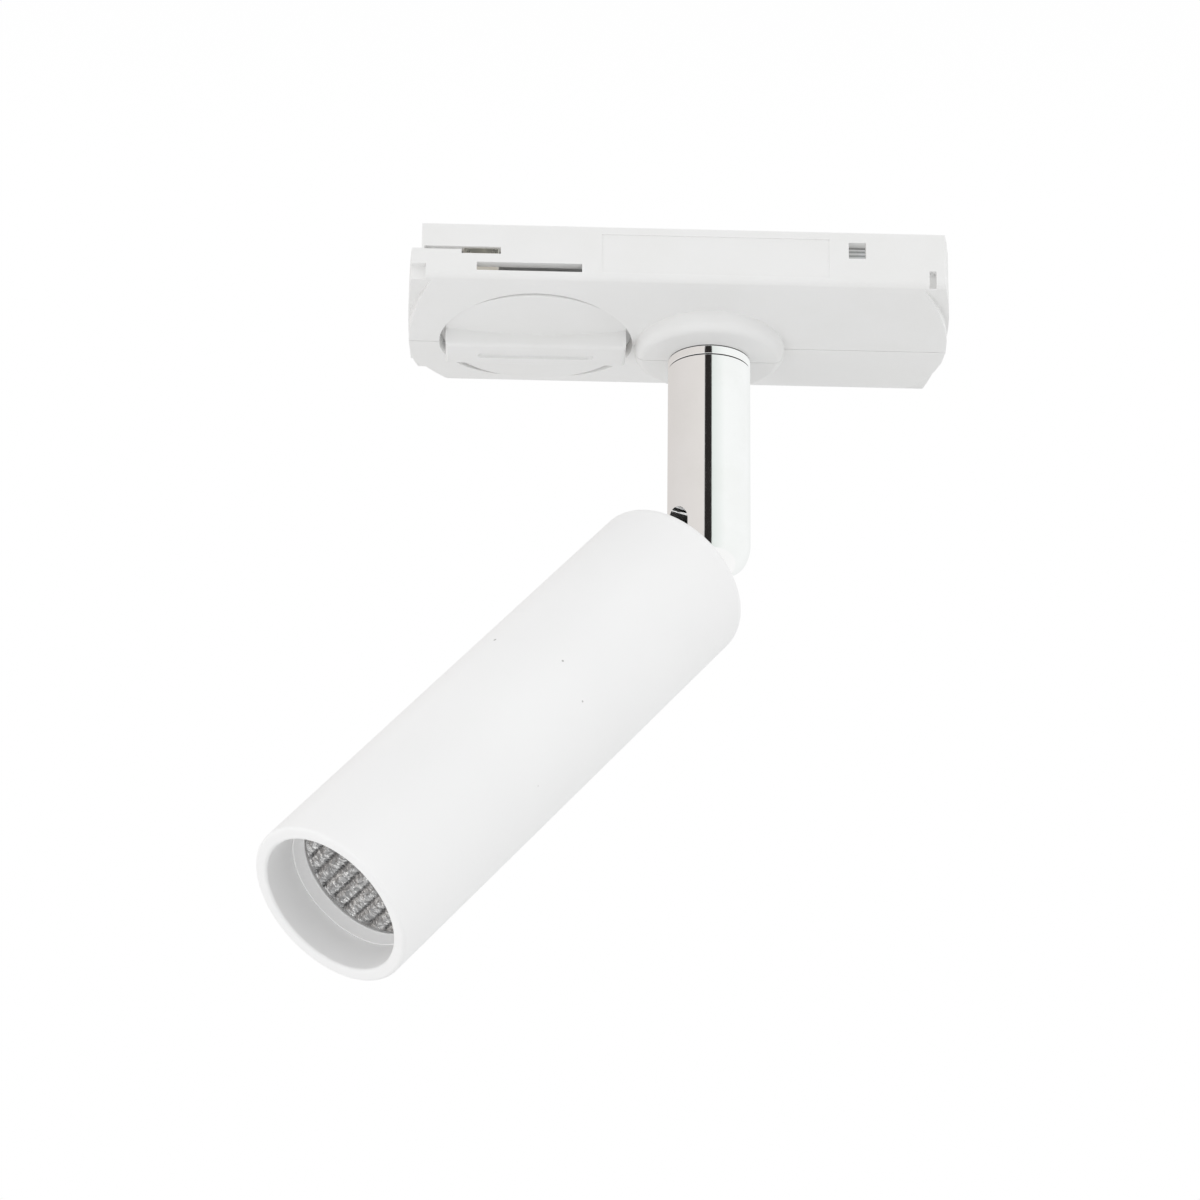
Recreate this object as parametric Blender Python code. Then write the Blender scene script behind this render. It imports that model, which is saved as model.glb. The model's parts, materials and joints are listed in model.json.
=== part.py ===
"""Track spotlight: a white track adapter with a locking dial, a chrome stem that
swivels below it, and a white cylindrical head that tilts in the fork of the stem.

Frame: +Z up, X along the track. The origin lies on the swivel axis, in the flat
top face of the adapter. Everything hangs below it. Lengths are in millimetres in
the named sizes and become metres when an object is made.
"""

import math

import bmesh
import bpy
from mathutils import Matrix, Vector

MM = 0.001
GAP = 0.3  # clearance between neighbouring pieces

# Adapter housing
HALF_WIDTH = 17.5
WALL = 1.6
SIDE_HEIGHT = 8.4  # top face to the ridge
CROWN = 1.9  # rise of the curved underside
RIDGE_FILLET = 1.2
SHOULDER_HEIGHT = 3.9
END_FROM_DIAL = 16.6  # dial axis to the upper tier's left end
SHOULDER_STEP = 1.3  # the lower tier stands out this far at the left
TIP_REACH = 2.0  # and this far at the tip of its bow
RIGHT_END = 32.6
RIGHT_TIP = 34.65
RIDGE_SETBACK = 2.1  # the ridge ends this far inside the upper tier's left end
RIGHT_RIDGE_END = 29.0
KEY_SIDE = 10.0  # the lower tier's back left corner is cut from here outwards
KEY_START = 1.7  # from the shoulder to the start of the slanted cut
KEY_RUN = 3.7  # length along X of the slanted cut
TIP_STEP = 0.08  # the crown stands back this far at its two tips
FLOOR_TOP = 7.5  # depth of the cavity
COVER_THICKNESS = 1.4
BOSS_RADIUS = 1.6
SCREW_RADIUS = 0.6
SCREW_HEAD_RADIUS = 1.2
SCREW_HEAD_HEIGHT = 0.6
BOSS_INSET = 4.0  # boss centre from the left end
BOSS_SIDE = 4.3  # boss centre from the side faces
RIGHT_BOSS_INSET = 5.1
ROSETTE_RADIUS = 10.9
ROSETTE_HEIGHT = 2.3
ROSETTE_EDGE = 1.4

# Openings in the side walls
SLOT_HEIGHT = 1.1
CONTACT_DEPTH = 4.05  # middle of the contact slot below the top face
CONTACT_FROM_END = 8.5
CONTACT_WIDTH = 5.0
GROOVE_HEIGHT = 0.5
GROOVE_DEPTH = 0.7
WINDOW_FROM_STEM = 20.25
WINDOW_WIDTH = 2.5
WINDOW_TOP = 1.55
WINDOW_HEIGHT = 2.55
NOTCH_FROM_END = 1.6
NOTCH_WIDTH = 1.0
NOTCH_HEIGHT = 2.5
LUG_WIDTH = 2.0
LUG_HEIGHT = 2.1
PANEL_LENGTH = 32.5
PANEL_MARGIN = 1.1
PANEL_DEPTH = 0.15
GROOVE_FROM_END = 0.4
SPRING_THICKNESS = 0.5
SPRING_SIDE = 0.6  # the spring is wider than its window by this on each side
TERMINAL_FROM_STEM = 11.0
TERMINAL_LENGTH = 6.0
TERMINAL_HALF_WIDTH = 7.5
TERMINAL_TOP = -2.4
TERMINAL_PITCH = 4.8
TERMINAL_SCREW_SINK = 0.4
TERMINAL_SCREW_LENGTH = 2.5

# Locking dial
DIAL_FROM_STEM = 25.3  # at least; a wider housing moves the dial out
DIAL_HOLE_RADIUS = 14.1
DIAL_FLANGE = 1.0
DIAL_FLANGE_THICKNESS = 0.5
DIAL_DOME = 0.9
GRIP_MARGIN = 0.7  # each end of the grip bar to the knob's edge
GRIP_WIDTH = 6.2
GRIP_HEIGHT = 2.1
GRIP_GROOVE_MARGIN = 4.7  # each end of the groove to the bar's end
GRIP_GROOVE_WIDTH = 1.8
GRIP_GROOVE_DEPTH = 0.5
GRIP_BEVEL = 0.7
GRIP_ROOT = 1.2  # the bar reaches this far into the knob
POCKET_HALF_WIDTH = 4.6
POCKET_FLOOR = 0.5  # left between a pocket and the flange
KNOB_EDGE = 0.3
SHAFT_REACH = 1.2  # shaft end below the cavity floor
HUB_WALL = 3.0
HUB_START = math.radians(55)
SHAFT_RADIUS = 3.0
CAM_REACH = 0.8  # how far the turned cam stands out of the side face
CAM_THICKNESS = 0.7
CAM_DEPTH = 6.55
CAM_HALF_ANGLE = math.radians(17)
CAM_SLOT_HEIGHT = 1.3
CAM_SLOT_EXTRA = 2.4
CONTACT_THICKNESS = 0.8
CONTACT_LENGTH = 8.0
DRIVE_RADIUS = 9.5
DRIVE_THICKNESS = 0.8
CLIP_THICKNESS = 0.6
CLIP_WALL = 1.1
CLIP_GAP = 1.6  # opening of the clip

# Swivel and stem
STEM_RADIUS = 6.0
RING_HEIGHT = 1.1
PIVOT_DROP = 28.9  # rosette face to the tilt pivot
NIPPLE_RADIUS = 4.0
NIPPLE_BORE = 2.6
NIPPLE_GRIP = 5.0  # length inside the stem
BUSH_WALL = 1.3
FLANGE_RADIUS = 6.5
FLANGE_THICKNESS = 1.0
WASHER_THICKNESS = 0.6
NUT_THICKNESS = 1.4
NUT_RADIUS = 7.2
FORK_WIDTH = 4.6
FORK_DEPTH = 4.4  # slot length above the pivot
LEAD_RADIUS = 0.6

# Tilt pivot
PIVOT_RADIUS = 1.5
PIVOT_HEAD_RADIUS = 2.4
PIVOT_HEAD_HEIGHT = 1.1
PIVOT_SEAT = 3.9  # flat seat of the screw head from the middle
PIVOT_REACH = 4.6  # end of the screw in the front cheek, from the middle
PIVOT_KEY_RADIUS = 0.9
PIVOT_KEY_DEPTH = 0.6
TONGUE_WIDTH = 2.6
TONGUE_RADIUS = 3.3
TILT_WASHER_RADIUS = 2.9

# Head
HEAD_TURN = math.radians(214)  # compass direction of the head
HEAD_TILT = math.radians(47)  # angle below the horizontal
HEAD_RADIUS = 12.1
HEAD_BORE = 10.2
HEAD_START = 9.2  # pivot to the rear face
HEAD_LENGTH = 80.7
REAR_WALL = 2.0
REAR_EDGE = 1.6
LIP_EDGE = 0.5
REAR_HOLE = 4.6
BRACKET_MARGIN = 1.2  # bracket flange to the bore
BRACKET_THICKNESS = 2.0
BRACKET_SCREW_TIP = 0.5  # metal left in front of the screw holes
TONGUE_ROOT = 1.0
BRACKET_SCREW_MARGIN = 3.0  # bracket screw axis to the bore
SLEEVE_WALL = 0.7
SLEEVE_OVERHANG = 2.0  # sleeve beyond the board at each end
BOARD_THICKNESS = 1.4
BOARD_MARGIN = 1.0  # each side of the board to the sleeve
BOARD_LENGTH = 29.0
BOARD_UNDERSIDE = -2.0
CHOKE_SIDE = 8.0
CHOKE_HEIGHT = 6.0
CHOKE_START = 6.0
CHOKE_LENGTH = 9.0
CAPACITOR_RADIUS = 2.8
CAPACITOR_START = 18.0
CAPACITOR_LENGTH = 9.0
SINK_LENGTH = 17.0
SINK_FINS = 5
SINK_FIN_DEPTH = 4.2
LED_BOARD_MARGIN = 1.6  # LED board to the bore
LED_BOARD_THICKNESS = 1.2
EMITTER_RADIUS = 3.4
EMITTER_THICKNESS = 0.8
LENS_RECESS = 7.6  # front lip to the lens face
LENS_FLANGE = 1.0
LENS_MARGIN = 0.6  # lens rim to the bore
LENS_LENGTH = 14.3
HOLDER_SEAT = 1.3  # how far the lens rim rests on its holder
WAIST_STEP = 1.7  # lens body inside its rim
POCKET_DEPTH = 1.8  # hollow over the emitter
POCKET_MARGIN = 0.5
NECK_FLARE = 4.0  # length of the lens neck
RETAINER_BEVEL = 0.3
RETAINER_REACH = 1.05  # retaining ring's opening to the bore
RETAINER_LENGTH = 1.8

ROUND = 48
SMALL_ROUND = 20

HOUSING_BOTTOM = -(SIDE_HEIGHT + CROWN)
ROSETTE_FACE = HOUSING_BOTTOM - ROSETTE_HEIGHT
RING_TOP = ROSETTE_FACE - GAP
STEM_TOP = RING_TOP - RING_HEIGHT - GAP
PIVOT_Z = ROSETTE_FACE - PIVOT_DROP
CAM_RADIUS = HALF_WIDTH + CAM_REACH
DIAL_X = -max(DIAL_FROM_STEM, CAM_RADIUS + FLANGE_RADIUS + GAP)
LEFT_END = DIAL_X - END_FROM_DIAL
LEFT_SHOULDER = LEFT_END - SHOULDER_STEP
LEFT_TIP = LEFT_END - TIP_REACH
LEFT_RIDGE_END = LEFT_END + RIDGE_SETBACK
KNOB_RADIUS = DIAL_HOLE_RADIUS - GAP
GRIP_LENGTH = 2 * (KNOB_RADIUS - GRIP_MARGIN)
GRIP_GROOVE_LENGTH = GRIP_LENGTH - 2 * GRIP_GROOVE_MARGIN
BRACKET_RADIUS = HEAD_BORE - BRACKET_MARGIN
BRACKET_SCREW_SPREAD = HEAD_BORE - BRACKET_SCREW_MARGIN
BOARD_WIDTH = 2 * (HEAD_BORE - GAP - SLEEVE_WALL - BOARD_MARGIN)
SINK_CORE = HEAD_BORE - SINK_FIN_DEPTH
LED_BOARD_RADIUS = HEAD_BORE - LED_BOARD_MARGIN
LENS_RIM_RADIUS = HEAD_BORE - LENS_MARGIN
RING_OPENING = HEAD_BORE - RETAINER_REACH


def clear_scene():
    for obj in list(bpy.data.objects):
        bpy.data.objects.remove(obj, do_unlink=True)


def material(name, colour, roughness, metallic=0.0):
    made = bpy.data.materials.new(name)
    made.use_nodes = True
    shader = made.node_tree.nodes["Principled BSDF"]
    shader.inputs["Base Color"].default_value = (*colour, 1.0)
    shader.inputs["Roughness"].default_value = roughness
    shader.inputs["Metallic"].default_value = metallic
    return made


def empty(name, location, rotation=(0.0, 0.0, 0.0)):
    """An axis that moving pieces hang from."""
    made = bpy.data.objects.new(name, None)
    made.location = Vector(location) * MM
    made.rotation_euler = rotation
    bpy.context.collection.objects.link(made)
    return made


def add(name, shape, finish=None, parent=None, origin=(0.0, 0.0, 0.0)):
    """Turns a bmesh in millimetres into an object whose origin is at `origin`."""
    bmesh.ops.transform(shape, matrix=Matrix.Scale(MM, 4), verts=shape.verts)
    bmesh.ops.translate(shape, vec=-Vector(origin) * MM, verts=shape.verts)
    bmesh.ops.recalc_face_normals(shape, faces=shape.faces)
    mesh = bpy.data.meshes.new(name)
    shape.to_mesh(mesh)
    shape.free()
    mesh.shade_smooth()
    mesh.set_sharp_from_angle(angle=math.radians(35))
    made = bpy.data.objects.new(name, mesh)
    made.location = Vector(origin) * MM
    made.parent = parent
    if finish:
        mesh.materials.append(finish)
    bpy.context.collection.objects.link(made)
    return made


def helper(name, shape, parent=None):
    """A shape that only cuts or joins others."""
    made = add(name, shape, parent=parent)
    made.hide_render = True
    made.display_type = "WIRE"
    return made


def combine(obj, operation, *others):
    for other in others:
        step = obj.modifiers.new(other.name, "BOOLEAN")
        step.operation = operation
        step.solver = "EXACT"
        step.object = other
    return obj


def cut(obj, *others):
    return combine(obj, "DIFFERENCE", *others)


def join(obj, *others):
    return combine(obj, "UNION", *others)


def box(x0, x1, y0, y1, z0, z1):
    shape = bmesh.new()
    centre = Vector(((x0 + x1) / 2, (y0 + y1) / 2, (z0 + z1) / 2))
    size = Vector((abs(x1 - x0), abs(y1 - y0), abs(z1 - z0)))
    place = Matrix.Translation(centre) @ Matrix.Diagonal((*size, 1.0))
    bmesh.ops.create_cube(shape, size=1.0, matrix=place)
    return shape


def prism(outline, z0, z1):
    """A plan outline made solid between two heights."""
    shape = bmesh.new()
    verts = [shape.verts.new((x, y, z0)) for x, y in outline]
    face = shape.faces.new(verts)
    grown = bmesh.ops.extrude_face_region(shape, geom=[face])
    moved = [item for item in grown["geom"] if isinstance(item, bmesh.types.BMVert)]
    bmesh.ops.translate(shape, vec=(0.0, 0.0, z1 - z0), verts=moved)
    return shape


def turned(profile, steps=ROUND, centre=(0.0, 0.0)):
    """A closed profile of (radius, height) points turned about a vertical axis."""
    shape = bmesh.new()
    verts = [shape.verts.new((radius, 0.0, height)) for radius, height in profile]
    pairs = list(zip(verts, verts[1:] + verts[:1]))
    edges = [shape.edges.new(pair) for pair in pairs]
    turn = {"axis": (0, 0, 1), "cent": (0, 0, 0), "angle": math.tau, "steps": steps}
    bmesh.ops.spin(shape, geom=verts + edges, use_merge=True, **turn)
    bmesh.ops.remove_doubles(shape, verts=shape.verts, dist=1e-5)
    bmesh.ops.dissolve_degenerate(shape, edges=shape.edges, dist=1e-6)
    flat = [face for face in shape.faces if face.calc_area() < 1e-9]
    bmesh.ops.delete(shape, geom=flat, context="FACES")
    loose = [edge for edge in shape.edges if not edge.link_faces]
    bmesh.ops.delete(shape, geom=loose, context="EDGES")
    bmesh.ops.translate(shape, vec=(*centre, 0.0), verts=shape.verts)
    return shape


def disc(radius, z0, z1, steps=ROUND, centre=(0.0, 0.0)):
    """A solid cylinder; steps of 6 make a hexagon."""
    shape = bmesh.new()
    place = Matrix.Translation((*centre, (z0 + z1) / 2))
    size = {"radius1": radius, "radius2": radius, "depth": abs(z1 - z0)}
    bmesh.ops.create_cone(
        shape, cap_ends=True, cap_tris=False, segments=steps, matrix=place, **size
    )
    return shape


def ring(outer, inner, z0, z1, steps=ROUND, centre=(0.0, 0.0)):
    profile = [(inner, z0), (outer, z0), (outer, z1), (inner, z1)]
    return turned(profile, steps, centre)


def rod(radius, start, end, axis, steps=SMALL_ROUND, offset=(0.0, 0.0, 0.0)):
    """A cylinder along X or Y, from start to end."""
    shape = disc(radius, start, end, steps)
    turn = Matrix.Rotation(math.pi / 2, 4, "Y")
    if axis == "Y":
        turn = Matrix.Rotation(-math.pi / 2, 4, "X")
    bmesh.ops.transform(shape, matrix=turn, verts=shape.verts)
    bmesh.ops.translate(shape, vec=offset, verts=shape.verts)
    return shape


def arc(centre, radius, start, end, steps):
    """Points on a circle, with both ends."""
    points = []
    for index in range(steps + 1):
        angle = start + (end - start) * index / steps
        x = centre[0] + radius * math.cos(angle)
        points.append((x, centre[1] + radius * math.sin(angle)))
    return points


def bowed_end(corner, tip, half_width, steps=10):
    """Points from -half_width to +half_width through the tip of a bowed end."""
    sagitta = abs(tip - corner)
    radius = (half_width**2 + sagitta**2) / (2 * sagitta)
    reach = math.asin(half_width / radius)
    side = 1.0 if tip > corner else -1.0
    points = []
    for index in range(steps + 1):
        angle = -reach + 2 * reach * index / steps
        x = tip - side * (radius - radius * math.cos(angle))
        points.append((x, radius * math.sin(angle)))
    return points


def plan(left, right, half_width):
    """Plan outline between two ends, each given as (corner, tip)."""
    outline = bowed_end(*right, half_width)
    if left[0] == left[1]:
        outline += [(left[0], half_width), (left[0], -half_width)]
    else:
        outline += reversed(bowed_end(*left, half_width))
    return outline


def extruded_section(section, x0, x1):
    """A (y, z) section made solid along X."""
    shape = prism([(y, z) for y, z in section], 0.0, x1 - x0)
    for vert in shape.verts:
        y, z, x = vert.co
        vert.co = (x + x0, y, z)
    return shape


def cable(name, points, radius, finish, parent=None):
    """A lead: a round bar along a smooth curve through a few points."""
    data = bpy.data.curves.new(name, "CURVE")
    data.dimensions = "3D"
    data.bevel_depth = radius * MM
    data.bevel_resolution = 2
    data.use_fill_caps = True
    spline = data.splines.new("POLY")
    route = smooth_route([Vector(point) for point in points])
    spline.points.add(len(route) - 1)
    for target, point in zip(spline.points, route):
        target.co = (*(point * MM), 1.0)
    data.materials.append(finish)
    made = bpy.data.objects.new(name, data)
    made.parent = parent
    bpy.context.collection.objects.link(made)
    return made


def smooth_route(points, steps=5):
    """Catmull-Rom points through the given ones."""
    ends = [points[0]] + points + [points[-1]]
    route = []
    for before, start, end, after in zip(ends, ends[1:], ends[2:], ends[3:]):
        for index in range(steps):
            t = index / steps
            pull = (end - before) * t + (2 * before - 5 * start + 4 * end - after) * t**2
            pull += (3 * start - before - 3 * end + after) * t**3
            route.append(start + pull / 2)
    return route + [points[-1]]


def screw(name, centre, head_top, length, finish, parent=None):
    """A pan-head screw pointing down, with a cross slot left to the finish."""
    head_low = head_top - SCREW_HEAD_HEIGHT
    profile = [(0.0, head_top), (0.0, head_top - length), (SCREW_RADIUS, head_top - length)]
    profile += [(SCREW_RADIUS, head_low), (SCREW_HEAD_RADIUS, head_low)]
    profile += [(SCREW_HEAD_RADIUS, head_top)]
    return add(name, turned(profile, 12, centre), finish, parent)


def boss_places():
    left = LEFT_END + BOSS_INSET
    right = RIGHT_END - RIGHT_BOSS_INSET
    side = HALF_WIDTH - BOSS_SIDE
    return [(left, -side), (left, side), (right, -side), (right, side)]


def crown_section():
    """Section of the curved underside: a shallow arc with a fillet at each ridge."""
    radius = (HALF_WIDTH**2 + CROWN**2) / (2 * CROWN)
    slope = math.asin(HALF_WIDTH / radius)
    centre = (HALF_WIDTH - RIDGE_FILLET, -SIDE_HEIGHT + RIDGE_FILLET * 0.9)
    corner = arc(centre, RIDGE_FILLET, 0.0, slope - math.pi / 2, 4)
    reach = slope * 0.9
    floor = arc(
        (0.0, HOUSING_BOTTOM + radius), radius, reach - math.pi / 2, -reach - math.pi / 2, 16
    )
    mirrored = [(-y, z) for y, z in reversed(corner)]
    return [(HALF_WIDTH, 0.0)] + corner + floor + mirrored + [(-HALF_WIDTH, 0.0)]


def housing_solid(name):
    """The outside of the adapter: a crowned bar, trimmed in plan and stepped at its ends."""
    right = (RIGHT_END, RIGHT_TIP)
    left_bow = (LEFT_RIDGE_END, LEFT_TIP + TIP_STEP)
    far = RIGHT_TIP + 10.0
    deep = ROSETTE_FACE - 1.0
    bar = extruded_section(crown_section(), -far, far)
    outline = plan((LEFT_SHOULDER, LEFT_TIP), right, HALF_WIDTH + 1.0)
    trim = helper(name + "_trim", prism(outline, 1.0, deep))
    shoulder_box = box(-far, LEFT_END, -HALF_WIDTH - 2.0, HALF_WIDTH + 2.0, -SHOULDER_HEIGHT, 2.0)
    shoulder = helper(name + "_shoulder", shoulder_box)
    frame_box = box(-far - 1.0, far + 1.0, -far, far, deep, -SIDE_HEIGHT)
    frame = helper(name + "_frame", frame_box)
    crown_bow = (RIGHT_RIDGE_END, RIGHT_TIP - TIP_STEP)
    crown = helper(name + "_crown", prism(plan(left_bow, crown_bow, HALF_WIDTH + 0.5), 0.0, deep - 1.0))
    cut(frame, crown)
    low = ROSETTE_FACE
    edge = arc((ROSETTE_RADIUS - ROSETTE_EDGE, low + ROSETTE_EDGE), ROSETTE_EDGE, -math.pi / 2, 0, 4)
    profile = [(0.0, -FLOOR_TOP - GAP), (0.0, low)] + edge + [(ROSETTE_RADIUS, -FLOOR_TOP - GAP)]
    rosette = helper(name + "_rosette", turned(profile))
    return bar, trim, [shoulder, frame], rosette


def cavity(name):
    left = (LEFT_END + WALL, LEFT_END + WALL)
    outline = plan(left, (RIGHT_END - WALL, RIGHT_TIP - WALL), HALF_WIDTH - WALL)
    made = helper(name + "_cavity", prism(outline, 1.0, -FLOOR_TOP))
    cut(made, corner_key(name + "_wall", WALL))
    return made


def corner_key(name, wall):
    """The cut at the lower tier's back left corner, grown by a wall's thickness."""
    start = LEFT_SHOULDER + KEY_START + wall
    end = start + KEY_RUN
    out = LEFT_TIP - 5.0
    side = KEY_SIDE - wall / 2
    top = -SHOULDER_HEIGHT + wall * 0.75
    beyond = HALF_WIDTH + 2.0
    slope = KEY_RUN / (HALF_WIDTH - KEY_SIDE)
    outline = [(out, side), (start - slope * wall / 2, side)]
    outline += [(end + slope * 2.0, beyond), (out, beyond)]
    return helper(name + "_key", prism(outline, top, ROSETTE_FACE))


def dial_hole(name):
    ledge = FLOOR_TOP + DIAL_FLANGE_THICKNESS + GAP
    low = HOUSING_BOTTOM - 1.0
    seat = DIAL_HOLE_RADIUS + DIAL_FLANGE
    profile = [(0.0, -FLOOR_TOP + GAP), (0.0, low), (DIAL_HOLE_RADIUS, low)]
    profile += [(DIAL_HOLE_RADIUS, -ledge), (seat, -ledge), (seat, -FLOOR_TOP + GAP)]
    return helper(name + "_dial_hole", turned(profile, ROUND, (DIAL_X, 0.0)))


def side_box(name, x0, x1, depth, z0, z1, side):
    """A box that cuts into one side face, to a depth measured from that face."""
    inner = HALF_WIDTH - depth
    outer = HALF_WIDTH + 1.0
    ends = (-outer, -inner) if side < 0 else (inner, outer)
    return helper(name, box(x0, x1, *ends, z0, z1))


def contact_place():
    """Left and right edge of the contact tongue."""
    middle = LEFT_END + CONTACT_FROM_END
    return middle - CONTACT_WIDTH / 2, middle + CONTACT_WIDTH / 2


def side_cutters(name, side):
    """Contact slot and groove, earth window, end notch, lug recess and side panel."""
    deep = WALL + 1.0
    left, right = contact_place()
    top = -CONTACT_DEPTH + SLOT_HEIGHT / 2
    low = -CONTACT_DEPTH - SLOT_HEIGHT / 2
    slot = side_box(name + "_slot", left - GAP, right + GAP, deep, low, top, side)
    groove_start = LEFT_END + GROOVE_FROM_END
    groove = side_box(
        name + "_groove", groove_start, left, GROOVE_DEPTH, top - GROOVE_HEIGHT, top, side
    )
    window = [WINDOW_FROM_STEM - WINDOW_WIDTH / 2, WINDOW_FROM_STEM + WINDOW_WIDTH / 2]
    window_low = -WINDOW_TOP - WINDOW_HEIGHT
    opening = side_box(name + "_window", *window, deep, window_low, -WINDOW_TOP, side)
    notch = RIGHT_END - NOTCH_FROM_END
    notch_low = -SIDE_HEIGHT + 0.1
    end_notch = side_box(
        name + "_notch", notch - NOTCH_WIDTH / 2, notch + NOTCH_WIDTH / 2, 1.0,
        notch_low, notch_low + NOTCH_HEIGHT, side,
    )
    lug = side_box(
        name + "_lug", LEFT_TIP - 1.0, LEFT_SHOULDER + LUG_WIDTH, 1.0,
        -SIDE_HEIGHT - GAP, -SIDE_HEIGHT + LUG_HEIGHT, side,
    )
    panel = side_box(
        name + "_panel", -PANEL_LENGTH / 2, PANEL_LENGTH / 2, PANEL_DEPTH,
        -SIDE_HEIGHT + RIDGE_FILLET, -PANEL_MARGIN, side,
    )
    return [slot, groove, opening, end_notch, lug, panel]


def cam_slot(name):
    """Slot in the front wall, on the path of the locking cam."""
    radius = CAM_RADIUS + GAP
    inner = HALF_WIDTH - WALL - 0.4
    reach = math.acos(inner / radius)
    outline = arc((DIAL_X, 0.0), radius, -math.pi / 2 - reach, -math.pi / 2 + reach, 24)
    z0 = -CAM_DEPTH - CAM_SLOT_HEIGHT / 2
    z1 = -CAM_DEPTH + CAM_SLOT_HEIGHT / 2
    sweep = helper(name + "_sweep", prism(outline, z0, z1))
    chord = math.sqrt(radius**2 - HALF_WIDTH**2)
    left = DIAL_X - chord - CAM_SLOT_EXTRA
    run = side_box(name + "_run", left, DIAL_X, WALL + 1.0, z0, z1, -1)
    return [sweep, run]


def screw_bosses(name, side):
    places = [place for place in boss_places() if place[1] * side > 0]
    posts = []
    holes = []
    for number, place in enumerate(places):
        label = f"{name}_boss_{number}"
        post = disc(BOSS_RADIUS, -COVER_THICKNESS - GAP, -FLOOR_TOP - 0.2, SMALL_ROUND, place)
        posts.append(helper(label, post))
        hole = disc(SCREW_RADIUS + GAP, 0.0, -FLOOR_TOP + 1.5, SMALL_ROUND, place)
        holes.append(helper(label + "_hole", hole))
    return posts, holes


def housing_half(name, side, finish):
    """One half of the housing, split on the plane of the swivel axis."""
    bar, trim, steps, rosette = housing_solid(name)
    shell = add(name, bar, finish)
    combine(shell, "INTERSECT", trim)
    join(shell, rosette)
    far = HALF_WIDTH + 5.0
    ends = (-GAP / 2, far) if side < 0 else (-far, GAP / 2)
    other = box(LEFT_TIP - 5, RIGHT_TIP + 5, *ends, 5.0, ROSETTE_FACE - 5)
    cut(shell, helper(name + "_split", other), *steps)
    if side > 0:
        cut(shell, corner_key(name, 0.0))
    cut(shell, cavity(name), dial_hole(name))
    posts, holes = screw_bosses(name, side)
    join(shell, *posts)
    cut(shell, *holes)
    bore = NIPPLE_RADIUS + BUSH_WALL + 2 * GAP
    cut(shell, helper(name + "_bore", disc(bore, 0.0, ROSETTE_FACE - 1.0)))
    cut(shell, *side_cutters(name, side))
    if side < 0:
        cut(shell, *cam_slot(name))
    return shell


def top_cover(finish, screw_finish):
    """Flat lid between the side walls; its top face lies on the track."""
    inset = WALL + GAP
    left = (LEFT_END + inset, LEFT_END + inset)
    outline = plan(left, (RIGHT_END - inset, RIGHT_TIP - inset), HALF_WIDTH - inset)
    lid = add("top_cover", prism(outline, 0.0, -COVER_THICKNESS), finish)
    sink = SCREW_HEAD_HEIGHT + GAP
    for number, place in enumerate(boss_places()):
        hole = disc(SCREW_RADIUS + GAP, 1.0, -COVER_THICKNESS - 1.0, SMALL_ROUND, place)
        seat = disc(SCREW_HEAD_RADIUS + GAP, 1.0, -sink, SMALL_ROUND, place)
        cut(lid, helper(f"lid_hole_{number}", hole), helper(f"lid_seat_{number}", seat))
        screw(f"cover_screw_{number + 1}", place, 0.0, 5.0, screw_finish)


def terminal_block(finish, screw_finish):
    x0, x1 = TERMINAL_FROM_STEM, TERMINAL_FROM_STEM + TERMINAL_LENGTH
    half, top = TERMINAL_HALF_WIDTH, TERMINAL_TOP
    block = add("terminal_block", box(x0, x1, -half, half, -FLOOR_TOP + GAP, top), finish)
    middle = (x0 + x1) / 2
    high = top - TERMINAL_SCREW_SINK
    end = high - TERMINAL_SCREW_LENGTH
    for number, y in enumerate((-TERMINAL_PITCH, 0.0, TERMINAL_PITCH)):
        hole = disc(SCREW_HEAD_RADIUS + GAP, 0.0, end - GAP, SMALL_ROUND, (middle, y))
        cut(block, helper(f"terminal_hole_{number}", hole))
        name = f"terminal_screw_{number + 1}"
        shape = disc(SCREW_HEAD_RADIUS, high, end, SMALL_ROUND, (middle, y))
        add(name, shape, screw_finish)


def earth_springs(finish):
    """A spring strip behind each window."""
    half = WINDOW_WIDTH / 2 + SPRING_SIDE
    outer = HALF_WIDTH - WALL - GAP
    low = -FLOOR_TOP + GAP
    high = -COVER_THICKNESS - GAP
    for name, side in (("earth_spring_front", -1), ("earth_spring_back", 1)):
        ends = sorted((side * outer, side * (outer - SPRING_THICKNESS)))
        shape = box(WINDOW_FROM_STEM - half, WINDOW_FROM_STEM + half, *ends, low, high)
        add(name, shape, finish)


def grip_bar(name):
    """The raised bar across the dial, with a long groove in its underside."""
    low = HOUSING_BOTTOM - GRIP_HEIGHT
    high = HOUSING_BOTTOM + GRIP_ROOT
    half = GRIP_LENGTH / 2
    shape = box(DIAL_X - half, DIAL_X + half, -GRIP_WIDTH / 2, GRIP_WIDTH / 2, low, high)
    rim = [
        edge for edge in shape.edges if all(vert.co.z < low + 0.01 for vert in edge.verts)
    ]
    bmesh.ops.bevel(shape, geom=rim, offset=GRIP_BEVEL, segments=3, profile=0.5, affect="EDGES")
    bar = helper(name + "_bar", shape)
    straight = (GRIP_GROOVE_LENGTH - GRIP_GROOVE_WIDTH) / 2
    radius = GRIP_GROOVE_WIDTH / 2
    outline = arc((DIAL_X + straight, 0.0), radius, -math.pi / 2, math.pi / 2, 6)
    outline += arc((DIAL_X - straight, 0.0), radius, math.pi / 2, 3 * math.pi / 2, 6)
    groove = helper(name + "_groove", prism(outline, low - 1.0, low + GRIP_GROOVE_DEPTH))
    return bar, groove


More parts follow.
